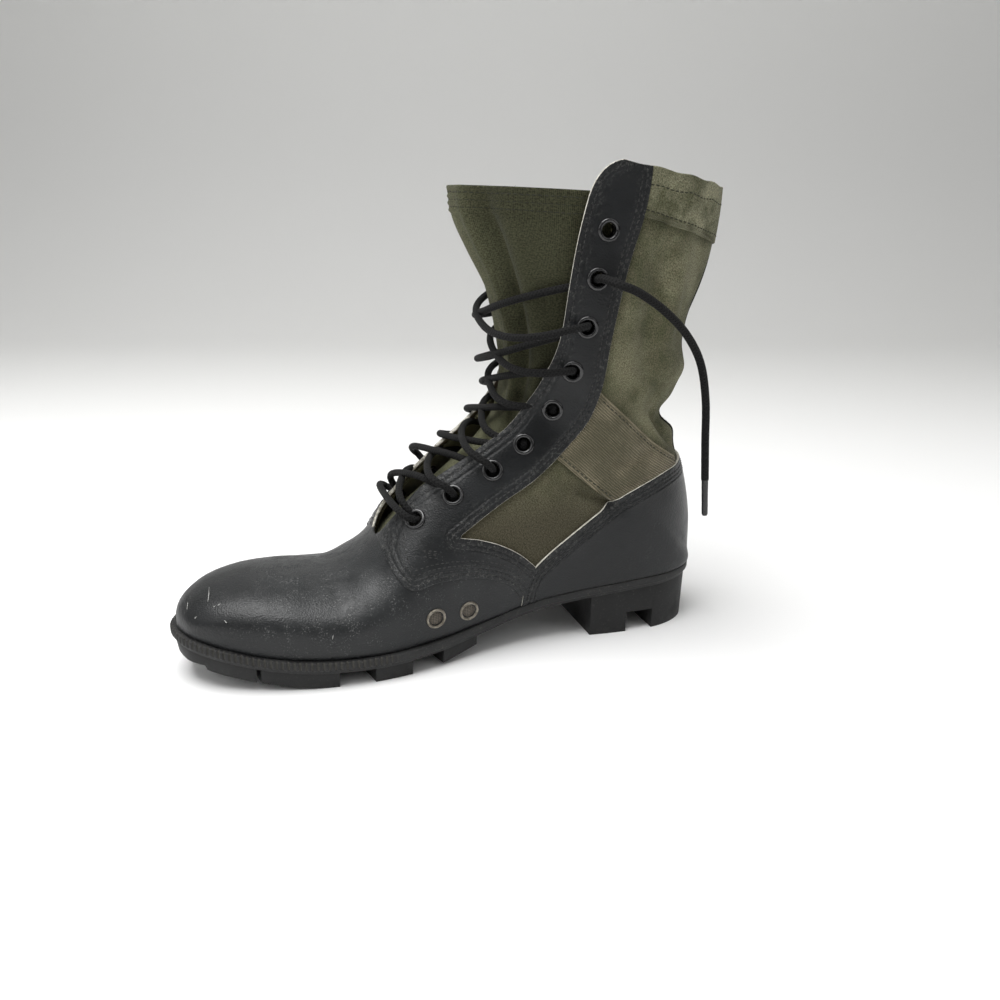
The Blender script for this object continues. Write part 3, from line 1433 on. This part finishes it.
def fibreMesh(name, line, count, material):
    # short loose threads that stand up from a cut edge
    points, faces = [], []
    for _ in range(count):
        here = Vector(line[rng.integers(len(line)), :3])
        lean = Vector(rng.normal(0, 0.6, 3)) + Vector((0, 0, 0.7))
        reach = fray["long"] * float(rng.uniform(0.35, 1.0))
        bend = Vector(rng.normal(0, 0.25, 3)) * reach
        base = len(points)
        for t in (0.0, 0.5, 1.0):
            middle = here + lean.normalized() * reach * t + bend * t * t
            for angle in (0, math.tau / 3, 2 * math.tau / 3):
                size = fray["thin"] * (1 - 0.5 * t)
                points.append(middle + Vector((math.cos(angle), math.sin(angle), 0)) * size)
        for k in (0, 3):
            for j in range(3):
                a, b = base + k + j, base + k + (j + 1) % 3
                faces.append((a, b, b + 3, a + 3))
        faces.append((base + 6, base + 7, base + 8))
    return meshObject(name, points, faces, [material])


def makePattern(surface):
    # the surface's table with the distances to each pattern line
    points = surface.points
    flat = points[:, [0, 2]]
    data = np.hstack([points, surface.normals, surface.wide[:, None], surface.long[:, None]])
    over, front = boot["height"] * 1.2, atX(0.30)
    edge = smoothLine(sideView(throatEdge))
    outline = [(front, edge[0][1] + 0.012), *map(tuple, edge), (edge[-1][0] + 0.006, over), (front, over)]
    sideCut = signedTo(outline, flat)
    # the outer side's edge stands a little further forward low down, and its top lies lower
    lowDown = 1 - smoothStep(0.55, 0.65, points[:, 2] / boot["height"])
    outerSide = smoothStep(0.0, 0.012, points[:, 1])
    sideCut = sideCut - 0.0035 * lowDown * outerSide
    collarZ = atZ(1.036 - (shareOf(points[:, 0]) - 0.567) / (1.0195 - 0.567) * 0.088)
    drop = 0.0135 * outerSide * (1 - smoothStep(0.80, 0.97, shareOf(points[:, 0])))
    drop += 0.0004 * (1 + np.sin(points[:, 0] * 260 + points[:, 1] * 190)) + 0.0002
    start, half = atX(0.369), 0.0165
    bend = [
        (start + half * 0.7 * (1 - math.cos(a)), half * math.sin(a))
        for a in np.linspace(-1, 1, 15) * math.pi / 2
    ]
    planCut = signedTo(bend + [(atX(0.50), half), (atX(0.50), -half)], points[:, :2])
    planCut = np.where(points[:, 2] > atZ(0.18), planCut, -0.05)
    data = addColumn(data, "keep", -np.maximum(sideCut, planCut))
    back = np.vstack([smoothLine(sideView(facingBack)), smoothLine(sideView(wingTop))])
    low = smoothLine(sideView(wingLow))
    top = smoothLine(sideView(counterTop))
    tall = boot["height"] * 1.1
    data = addColumn(
        data, "facing", signedTo([(low[-1][0], tall), (back[0][0] + 0.001, tall), *back, *low], flat)
    )
    data = addColumn(data, "facingBack", distanceTo(back, flat))
    data = addColumn(data, "wingLow", distanceTo(low, flat))
    behind = atX(1.05)
    line = [(atX(s), -0.02) for s in (1.05, 0.6155)]
    data = addColumn(data, "counter", signedTo([*top, (behind, top[-1][1]), *line], flat))
    data = addColumn(data, "counterTop", distanceTo([*top, (behind, top[-1][1])], flat))
    line = [(atX(-0.02), -0.02), (atX(0.611), -0.02)]
    data = addColumn(
        data, "vamp", signedTo([*line, *low, (low[-1][0], atZ(0.33)), (atX(-0.02), atZ(0.33))], flat)
    )
    under = smoothLine(sideView(bandLow))
    behind = atX(1.08)
    data = addColumn(
        data, "band", signedTo([*under, (behind, under[-1][1]), (behind, tall), (under[0][0], tall)], flat)
    )
    data = addColumn(data, "bandLow", distanceTo([*under, (behind, under[-1][1])], flat))
    first, second = smoothLine(sideView(strapTop)), smoothLine(sideView(strapLow))
    data = addColumn(
        data, "strap", signedTo([*first, (first[-1][0], second[-1][1] - 0.01), *second[::-1]], flat)
    )
    data = addColumn(
        data, "strapTop", distanceTo([*first, (first[-1][0] + 0.02, first[-1][1] - 0.012)], flat)
    )
    data = addColumn(data, "strapLow", distanceTo(second, flat))
    stay = np.where(points[:, 0] > atX(0.86), backstay["half"] - np.abs(points[:, 1]), -0.05)
    data = addColumn(data, "stay", stay)
    data = addColumn(data, "side", points[:, 1])
    data = addColumn(data, "collar", collarZ - drop - points[:, 2])
    scuff = np.zeros(len(points))
    for x, z, reach, strength in scuffPlaces:
        away = np.linalg.norm(flat - np.array([atX(x), atZ(z)]), axis=1)
        scuff = np.maximum(scuff, strength * np.exp(-((away / reach) ** 2)))
    data = addColumn(data, "scuff", scuff)
    for name in ("edge", "rib", "bare"):
        data = addColumn(data, name, np.full(len(points), 0.02))
    for name in ("facing", "counter", "band", "side", "stay"):
        data = addColumn(data, "not" + name, -data[:, columns[name]])
    return data


def punch(data, faces, seats, radius, rows):
    # round holes through a panel
    for key in rows:
        spot, normal = (np.array(v) for v in seats[key])
        rel = data[:, :3] - spot
        up = rel @ normal
        flat = np.linalg.norm(rel - up[:, None] * normal, axis=1)
        data[:, columns["hole"]] = np.where(np.abs(up) < 0.012, flat - radius, 0.05)
        data, faces = clip(data, faces, "hole")
    return data, faces


def dress(obj, node):
    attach(obj, "root")
    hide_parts(*([node] if isinstance(node, str) else node))


def sewing(name, lines, node, materials, spec, lift, thread="thread"):
    piece = stitchMesh(name, lines, materials[thread], spec, lift)
    dress(piece, node)


def makeUpper(surface, seats, ventSeats, materials):
    data = addColumn(makePattern(surface), "hole", np.full(len(surface.points), 0.05))
    data, faces = clip(data, surface.faces, "collar")

    # canvas body, set back from the facings' raw edges
    body, bodyFaces = clip(data, faces, "keep", 0.0022)
    body[:, columns["edge"]] = np.minimum.reduce(
        [
            np.abs(body[:, columns[name]])
            for name in ("facingBack", "counterTop", "strapLow", "strapTop", "bandLow")
        ]
    )
    for side in (inner, outer):
        body, bodyFaces = punch(body, bodyFaces, seats, eyelet["hole"], [(side, n) for n in range(1, 10)])
    obj = panel(
        "canvasBody", body, bodyFaces, boot["wall"], -boot["wall"],
        [materials["canvas"], materials["canvas"], materials["lining"]], 0.0005, ("edge",),
    )
    dress(obj, "upper")
    report("canvas body")

    # vamp
    piece, pieceFaces = clip(*clip(data, faces, "keep"), "vamp", -0.0040)
    piece, pieceFaces = clip(piece, pieceFaces, "notcounter", 0.0)
    piece[:, columns["edge"]] = 0.02
    piece, pieceFaces = punch(piece, pieceFaces, ventSeats, vent["hole"], [0, 1])
    obj = panel(
        "vampLeather", piece, pieceFaces, vamp["thick"], vamp["gap"],
        [materials["vamp"], materials["darkEdge"], materials["suede"]], vamp["round"], ("edge", "scuff"),
    )
    dress(obj, "vamp")
    for number, marks in enumerate(scratches):
        path = onSurface(surface, marks, inner, vamp["gap"] + vamp["thick"])[:, :3]
        mark = tubeMesh(f"scratch{number}", path, scratchRadius, scratch["sides"], materials["scratch"])
        dress(mark, "vamp")
    report("vamp")

    # counter
    piece, pieceFaces = clip(data, faces, "counter")
    piece[:, columns["edge"]] = piece[:, columns["counterTop"]]
    obj = panel(
        "counterLeather", piece, pieceFaces, counter["thick"], counter["gap"],
        [
            materials["counter"], materials["rawEdge"], materials["suede"]
        ], counter["round"], ("edge", "scuff"),
    )
    dress(obj, "counter")
    lift = counter["gap"] + counter["thick"]
    lines = [
        line for level in counter["rows"] for line in levelLines(piece, pieceFaces, "counterTop", level)
    ]
    sewing("counterStitches", lines, "counter", materials, leatherStitch, lift)
    report("counter")

    # facings with their wings
    for side, word, keepSide in ((inner, "inner", "notside"), (outer, "outer", "side")):
        piece, pieceFaces = clip(*clip(data, faces, keepSide, 0.0008), "facing")
        piece, pieceFaces = clip(*clip(piece, pieceFaces, "keep"), "notcounter")
        piece[:, columns["edge"]] = np.minimum.reduce(
            [
                piece[:, columns["facingBack"]],
                piece[:, columns["wingLow"]],
                np.maximum(piece[:, columns["keep"]], 0),
            ]
        )
        piece[:, columns["bare"]] = np.minimum(
            piece[:, columns["facingBack"]], np.abs(piece[:, columns["keep"]])
        )
        piece, pieceFaces = punch(
            piece, pieceFaces, seats, eyelet["hole"], [(side, n) for n in range(1, 10)]
        )
        obj = panel(
            "facingLeather" + word.title(), piece, pieceFaces, facing["thick"], facing["gap"],
            [materials["facing"], materials["facingEdge"], materials["suede"]], facing["round"],
            ("edge", "scuff", "bare"),
        )
        dress(obj, "facing_" + word)
        lines = []
        for field, levels in facing["seams"]:
            for level in levels:
                lines += levelLines(piece, pieceFaces, field, level)
        sewing(
            "facingStitches" + word.title(),
            lines,
            "facing_" + word,
            materials,
            leatherStitch,
            facing["gap"] + facing["thick"],
        )
    lines = [onSurface(surface, marks, inner, 0.0) for marks in tackLines]
    sewing("wingTack", lines, "facing_inner", materials, leatherStitch, facing["gap"] + facing["thick"])
    report("facings")

    # collar band with its piping and stitched top
    piece, pieceFaces = clip(*clip(data, faces, "band"), "notfacing")
    piece[:, columns["edge"]] = np.minimum(piece[:, columns["bandLow"]], piece[:, columns["collar"]])
    obj = panel(
        "collarBand", piece, pieceFaces, band["thick"], band["gap"],
        [materials["band"], materials["band"], materials["lining"]], band["round"], ("edge",),
    )
    dress(obj, "collar_band")
    lift = band["gap"] + band["thick"]
    lines = levelLines(piece, pieceFaces, "collar", 0.0085) + levelLines(
        piece, pieceFaces, "bandLow", 0.0032
    )
    sewing("collarStitches", lines, "collar_band", materials, canvasStitch, lift, "oliveThread")
    tops = np.vstack(levelLines(piece, pieceFaces, "collar", 0.0004))
    tops[:, :3] += tops[:, 3:6] * lift * 0.6
    dress(fibreMesh("collarFray", tops, fray["count"], materials["rawEdge"]), "collar_band")
    for number, line in enumerate(levelLines(piece, pieceFaces, "bandLow", 0.0008)):
        path = line[:, :3] + line[:, 3:6] * (lift + 0.0001)
        pipe = tubeMesh(f"collarPiping{number}", path[::2], 0.0010, 8, materials["band"])
        dress(pipe, "collar_band")
    report("collar band")

    # ankle straps
    for word, keepSide in (("inner", "notside"), ("outer", "side")):
        piece, pieceFaces = clip(*clip(data, faces, keepSide, 0.0), "strap")
        piece, pieceFaces = clip(*clip(piece, pieceFaces, "notcounter"), "notfacing")
        piece[:, columns["rib"]] = piece[:, columns["strapTop"]]
        obj = panel(
            "ankleStrap" + word.title(), piece, pieceFaces, strap["thick"], strap["gap"],
            [materials["strap"], materials["strap"], materials["strap"]], strap["round"], ("rib",),
        )
        dress(obj, "ankle_strap_" + word)
        lines = levelLines(
            piece, pieceFaces, "strapTop", 0.0020
        ) + levelLines(piece, pieceFaces, "strapLow", 0.0020)
        sewing(
            "strapStitches" + word.title(), lines, "ankle_strap_" + word, materials, canvasStitch,
            strap["gap"] + strap["thick"], "oliveThread",
        )
    report("ankle straps")

    # strip up the back
    piece, pieceFaces = clip(*clip(data, faces, "stay"), "notcounter")
    piece, pieceFaces = clip(piece, pieceFaces, "notband")
    piece[:, columns["rib"]] = piece[:, columns["stay"]]
    obj = panel(
        "backStrip", piece, pieceFaces, backstay["thick"], backstay["gap"],
        [materials["backstay"]] * 3, backstay["round"], ("rib",),
    )
    dress(obj, "backstay")
    lines = levelLines(piece, pieceFaces, "stay", 0.0022)
    sewing(
        "backStitches", lines, "backstay", materials, canvasStitch,
        backstay["gap"] + backstay["thick"], "oliveThread",
    )
    report("backstay")


# Tongue
tongue = {
    "thick": 0.0016,
    "room": 0.0043,
    "rows": 110,
    "across": 90,
    "hem": 0.013,
    "hemRows": (0.0030, 0.0068, 0.0106),
    # place across in half turns, height and width of each standing fold and trough
    "folds": [
        (-0.120, 0.0048, 0.030), (-0.185, -0.0085, 0.034), (-0.265, 0.0034, 0.036), (0.080, -0.0040, 0.060)
    ],
}


def makeTongue(surface, materials):
    front, sides = sideView(tongueFront), sideView(tongueSide)
    rows, across = tongue["rows"], tongue["across"]
    grid = np.zeros((rows + 1, across + 1, 3))
    for i in range(rows + 1):
        where = i / rows * (len(front) - 1)
        middle, edge = through(front, where), through(sides, where)
        reaches = {}
        for side in (inner, outer):
            spot, _ = surface.meet(side, edge[0], edge[1])
            reaches[side] = abs(spot.y) - boot["wall"] - tongue["room"]
        for j in range(across + 1):
            turn = (j / across - 0.5) * math.pi
            away = 1 - math.cos(turn)
            reach = reaches[inner if turn < 0 else outer]
            # a standing fold down the front, and a slack wave across the top
            high = np.interp(where, (5, 8, 10.5, 12), (0.0, 1.0, 0.9, 0.25))
            proud = 0.0020 * math.sin(turn * 5 + where * 0.7) * math.cos(turn)
            for spot, depth, wide in tongue["folds"]:
                proud += depth * math.exp(-(((turn / math.pi - spot - 0.006 * (where - 9)) / wide) ** 2))
            x = middle[0] + (edge[0] - middle[0]) * away - proud * high * math.cos(turn)
            z = middle[1] + (edge[1] - middle[1]) * away
            grid[i, j] = (x, (reach + proud * high) * math.sin(turn), z)
    normals = gridNormals(grid)
    if normals[:, across // 2, 0].mean() > 0:
        normals = -normals
    normals[0] = normals[1]
    length = np.concatenate([[0], np.linalg.norm(np.diff(grid, axis=0), axis=2).mean(axis=1).cumsum()])
    wide = np.concatenate([[0], np.linalg.norm(np.diff(grid, axis=1), axis=2).mean(axis=0).cumsum()])
    fromTop = length[-1] - length
    count = (rows + 1) * (across + 1)
    data = np.zeros((count, len(columns)))
    data[:, :3] = grid.reshape(-1, 3)
    data[:, 3:6] = normals.reshape(-1, 3)
    data[:, columns["u"]] = np.tile(wide, rows + 1)
    data[:, columns["v"]] = np.repeat(length, across + 1)
    data[:, columns["collar"]] = np.repeat(fromTop, across + 1)
    # the folded hem stands a little proud, with a soft dip at each stitch row
    hem = 0.0010 * (1 - smoothStep(tongue["hem"], tongue["hem"] + 0.001, data[:, columns["collar"]]))
    for level in tongue["hemRows"]:
        hem -= 0.0008 * np.exp(-(((data[:, columns["collar"]] - level) / 0.0008) ** 2))
    data[:, :3] += data[:, 3:6] * hem[:, None]
    # darker towards the inner facing, which shades it
    data[:, columns["edge"]] = 0.006 * smoothStep(-0.033, 0.010, data[:, 1])
    faces = [
        (
            i * (across + 1) + j,
            i * (across + 1) + j + 1,
            (i + 1) * (across + 1) + j + 1,
            (i + 1) * (across + 1) + j,
        )
        for i in range(rows)
        for j in range(across)
    ]
    cloth = materials["tongue"]
    obj = panel(
        "tongueCanvas",
        data,
        faces,
        tongue["thick"],
        -tongue["thick"],
        [cloth, cloth, cloth],
        0.0005,
        ("edge",),
    )
    dress(obj, "tongue")
    lines = [line for level in tongue["hemRows"] for line in levelLines(data, faces, "collar", level)]
    sewing("tongueStitches", lines, "tongue", materials, canvasStitch, 0.0, "oliveThread")
    tops = np.vstack(levelLines(data, faces, "collar", 0.0006))
    dress(fibreMesh("tongueFray", tops, fray["tongueCount"], cloth), "tongue")
    report("tongue")


# Eyelets and vents
eyelet = {"bore": 0.0036, "depth": 0.0042, "flange": 0.0059, "crown": 0.0010, "sides": 32, "hole": 0.0043}
vent = {
    "flange": 0.0057,
    "inside": 0.0042,
    "crown": 0.0010,
    "hole": 0.0040,  # in the leather
    "sides": 32,
    "domeAngle": 0.5,
    "domeHigh": 0.0009,
    "domeDeep": 0.0004,  # rim of the screen below the leather's face
}


def makeEyelets(seats, materials):
    base = facing["gap"] + facing["thick"]
    for (side, number), (spot, normal) in seats.items():
        word = "inner" if side == inner else "outer"
        ring = [(eyelet["bore"], -eyelet["depth"])]
        middle = (eyelet["bore"] + eyelet["flange"]) / 2
        half = (eyelet["flange"] - eyelet["bore"]) / 2
        ring += [
            (
                middle - half * math.cos(a), base + eyelet["crown"] * math.sin(a)
            ) for a in np.linspace(0, math.pi, 9)
        ]
        ring.append((eyelet["flange"], base - 0.0008))
        obj = lathe(
            f"eyeletRing{word.title()}{number}", ring, eyelet["sides"], spot, normal, materials["eyelet"]
        )
        dress(obj, f"eyelet_{word}_{number}")


def makeVents(ventSeats, materials):
    base = vamp["gap"] + vamp["thick"]
    for key, word in ((0, "front"), (1, "rear")):
        spot, normal = ventSeats[key]
        middle = (vent["inside"] + vent["flange"]) / 2
        half = (vent["flange"] - vent["inside"]) / 2
        ring = [(vent["inside"], base - 0.0012)]
        ring += [
            (middle - half * math.cos(a), base + vent["crown"] * math.sin(a))
            for a in np.linspace(0, math.pi, 9)
        ]
        ring.append((vent["flange"], base - 0.0012))
        obj = lathe(f"ventRing{word.title()}", ring, vent["sides"], spot, normal, materials["brass"])
        dress(obj, f"vent_{word}")
        edge, rim = vent["domeAngle"], math.cos(vent["domeAngle"])
        dome = []
        for a in np.linspace(edge, 0, 8):
            rise = vent["domeHigh"] * (math.cos(a) - rim) / (1 - rim)
            dome.append((vent["inside"] * math.sin(a) / math.sin(edge), base - vent["domeDeep"] + rise))
        obj = lathe(f"ventScreen{word.title()}", dome, vent["sides"], spot, normal, materials["screen"])
        dress(obj, f"vent_{word}")


# Sole
outsole = {
    "band": 0.0046,
    "step": 0.0012,
    "slab": 0.0068,
    "treadDepth": 0.0075,
    "cutWide": 0.07,  # the cutters' half width, foot and top, all past the sole
    "cutLow": -0.01,
    "cutHigh": 0.06,
    "grooveFar": 0.058,
    "grooveNear": 0.0005,
    "toothPitch": 0.0030,
    "toothDepth": 0.0015,
    "teethInner": 0.377,
    "teethOuter": 0.450,
    "treadEnd": 0.525,
    "breast": 0.755,
    "heelGroove": (0.828, 0.883),
    "heelNotchHigh": 0.0125,
    "grooves": [(0.045, 0.078, 0.40), (0.147, 0.154, None), (0.276, 0.338, None), (0.406, 0.468, None)],
    "sweep": 0.045,
    "channelHalf": 0.0028,
    "channelHigh": 0.0042,
    "bevel": 0.0006,
}


def capStrip(start, count, flip):
    faces = []
    for k in range(count // 2):
        corners = [k, k + 1, count - k - 1, (count - k) % count]
        unique = sorted(set(corners), key=corners.index)
        face = tuple(start + c for c in unique)
        faces.append(face[::-1] if flip else face)
    return faces


def ringStack(name, rings, materials):
    count = len(rings[0])
    points = [p for ring in rings for p in ring]
    faces = []
    for level in range(len(rings) - 1):
        for k in range(count):
            a, b = level * count + k, level * count + (k + 1) % count
            faces.append((a, b, b + count, a + count))
    faces += capStrip(0, count, True)
    faces += capStrip((len(rings) - 1) * count, count, False)
    obj = meshObject(name, points, faces, materials)
    shape = bmesh.new()
    shape.from_mesh(obj.data)
    bmesh.ops.recalc_face_normals(shape, faces=shape.faces)
    shape.to_mesh(obj.data)
    shape.free()
    obj.data.shade_smooth()
    return obj


def prism(name, outline, low, high):
    shape = bmesh.new()
    face = shape.faces.new([shape.verts.new((x, y, low)) for x, y in outline])
    grown = bmesh.ops.extrude_face_region(shape, geom=[face])
    moved = [v for v in grown["geom"] if isinstance(v, bmesh.types.BMVert)]
    bmesh.ops.translate(shape, verts=moved, vec=(0, 0, high - low))
    bmesh.ops.recalc_face_normals(shape, faces=shape.faces)
    mesh = bpy.data.meshes.new(name)
    shape.to_mesh(mesh)
    shape.free()
    return newObject(name, mesh)


def applyModifiers(obj):
    shown = bpy.context.evaluated_depsgraph_get()
    mesh = bpy.data.meshes.new_from_object(obj.evaluated_get(shown))
    obj.modifiers.clear()
    obj.data = mesh


def makeSole(materials):
    loop = outlineLoop(50)
    step = np.linalg.norm(np.roll(loop, -1, axis=0) - loop, axis=1)
    along = np.concatenate([[0], step.cumsum()[:-1]])
    shares = shareOf(loop[:, 0])
    limit = np.where(loop[:, 1] < 0, outsole["teethInner"], outsole["teethOuter"])
    teeth = smoothStep(0.25, 0.75, np.abs(np.sin(math.pi * along / outsole["toothPitch"])))
    teeth = outsole["toothDepth"] * (1 - teeth) * smoothStep(0.0, 0.02, limit - shares)
    top = np.array([soleTop(x) for x in loop[:, 0]])

    def ring(inset, low, tooth=0.0):
        flat = insetLoop(loop, inset + teeth * tooth)
        return [(x, y, z) for (x, y), z in zip(flat, top - low)]

    rimHigh, slab, back = outsole["band"], outsole["slab"], outsole["step"]
    rings = [
        ring(0.0090, 0.0002),
        ring(0.0016, 0.0),
        ring(0.0007, 0.0001, 0.6),
        ring(0.0002, 0.0004, 1.0),
        ring(0.0, 0.0010, 1.0),
        ring(0.0, rimHigh - 0.0008, 1.0),
        ring(0.0002, rimHigh - 0.0003, 1.0),
        ring(0.0006, rimHigh, 0.5),
        ring(back, rimHigh + 0.0001),
        ring(back + 0.0002, rimHigh + 0.0004),
        ring(back + 0.0004, slab - 0.0003),
        ring(back + 0.0008, slab),
    ]
    body = ringStack("soleBody", rings, [materials["rubber"]])
    shares = (0, 0, 0.5, 1, 1, 1, 1, 0.5, 0, 0, 0, 0)  # of the teeth's depth, one for each ring
    gaps = np.concatenate([teeth / outsole["toothDepth"] * share for share in shares])
    writeAttribute(body.data, "tooth", gaps)
    dress(body, "outsole")

    coarse = Edges(outlineLoop(4))
    middle, half = (coarse.toeX + coarse.heelX) / 2, (coarse.heelX - coarse.toeX) / 2
    places = [middle - half * math.cos(math.pi * i / 90) for i in range(91)]

    def lugRing(inset, height):
        edge = Edges(insetLoop(outlineLoop(), inset))
        span = (edge.heelX - edge.toeX) / (coarse.heelX - coarse.toeX)
        xs = [edge.toeX + (x - coarse.toeX) * span for x in places]
        one = [(x, edge.at(x)[0], height(x)) for x in xs]
        two = [(x, edge.at(x)[1], height(x)) for x in xs]
        return one + two[-2:0:-1]

    lugs = ringStack(
        "soleLugs",
        [
            lugRing(
                back + 0.0018, lambda x: treadLine(x) if shareOf(x) < outsole["treadEnd"] + 0.02 else 0.0
            ),
            lugRing(back + 0.0006, lambda x: soleTop(x) - slab + 0.0015),
        ],
        [materials["lugRubber"]],
    )
    cutters = []
    end, breast = atX(outsole["treadEnd"]), atX(outsole["breast"])
    wide, low, high = outsole["cutWide"], outsole["cutLow"], outsole["cutHigh"]
    cutters.append(
        prism("archCut", [(end, -wide), (breast, -wide), (breast, wide), (end, wide)], low, high)
    )
    sweep = outsole["sweep"] * boot["soleLength"]
    for number, (start, stop, depth) in enumerate(outsole["grooves"]):
        a, b = atX(start), atX(stop)
        top = high if depth is None else treadLine((a + b) / 2) + depth * outsole["treadDepth"]
        for side in (inner, outer):
            far, near = side * outsole["grooveFar"], side * outsole["grooveNear"]
            plan = [(a, far), (b, far), (b - sweep, near), (a - sweep, near)]
            cutters.append(prism(f"grooveCut{number}{side}", plan, low, top))
    halfWide = outsole["channelHalf"]
    plan = [(atX(0), -halfWide), (end, -halfWide), (end, halfWide), (atX(0), halfWide)]
    cutters.append(prism("channelCut", plan, low, outsole["channelHigh"]))
    a, b = (atX(s) for s in outsole["heelGroove"])
    plan = [(a, -wide), (b, -wide), (b, wide), (a, wide)]
    cutters.append(prism("heelCut", plan, low, outsole["heelNotchHigh"]))
    for cutter in cutters:
        cut = lugs.modifiers.new("cut", "BOOLEAN")
        cut.operation = "DIFFERENCE"
        cut.solver = "EXACT"
        cut.object = cutter
    soft = lugs.modifiers.new("soft", "BEVEL")
    soft.width = outsole["bevel"]
    soft.segments = 2
    soft.limit_method = "ANGLE"
    soft.angle_limit = math.radians(40)
    soft.use_clamp_overlap = True
    applyModifiers(lugs)
    lugs.data.shade_smooth()
    lugs.data.set_sharp_from_angle(angle=math.radians(40))
    for cutter in cutters:
        bpy.data.objects.remove(cutter)
    dress(lugs, "outsole")
    report("sole")


def main():
    makeCamera()
    makeStudio()
    surface = Surface()
    report(f"surface {surface.shape}")
    seats = {
        (side, number): surface.seat(side, atX(x), atZ(z), eyelet["flange"])
        for side in (inner, outer)
        for number, (x, z) in enumerate(eyeletPlaces, 1)
    }
    ventSeats = {
        k: surface.seat(inner, atX(x), atZ(z), vent["flange"]) for k, (x, z) in enumerate(ventPlaces)
    }
    materials = makeMaterials()
    makeLaceEnd(seats, materials)
    makeLace(seats, materials)
    report("laces")
    makeUpper(surface, seats, ventSeats, materials)
    makeTongue(surface, materials)
    makeEyelets(seats, materials)
    makeVents(ventSeats, materials)
    makeSole(materials)
    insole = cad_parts["insole"]
    insole.data.materials.clear()
    insole.data.materials.append(materials["insole"])
    report("done")


main()
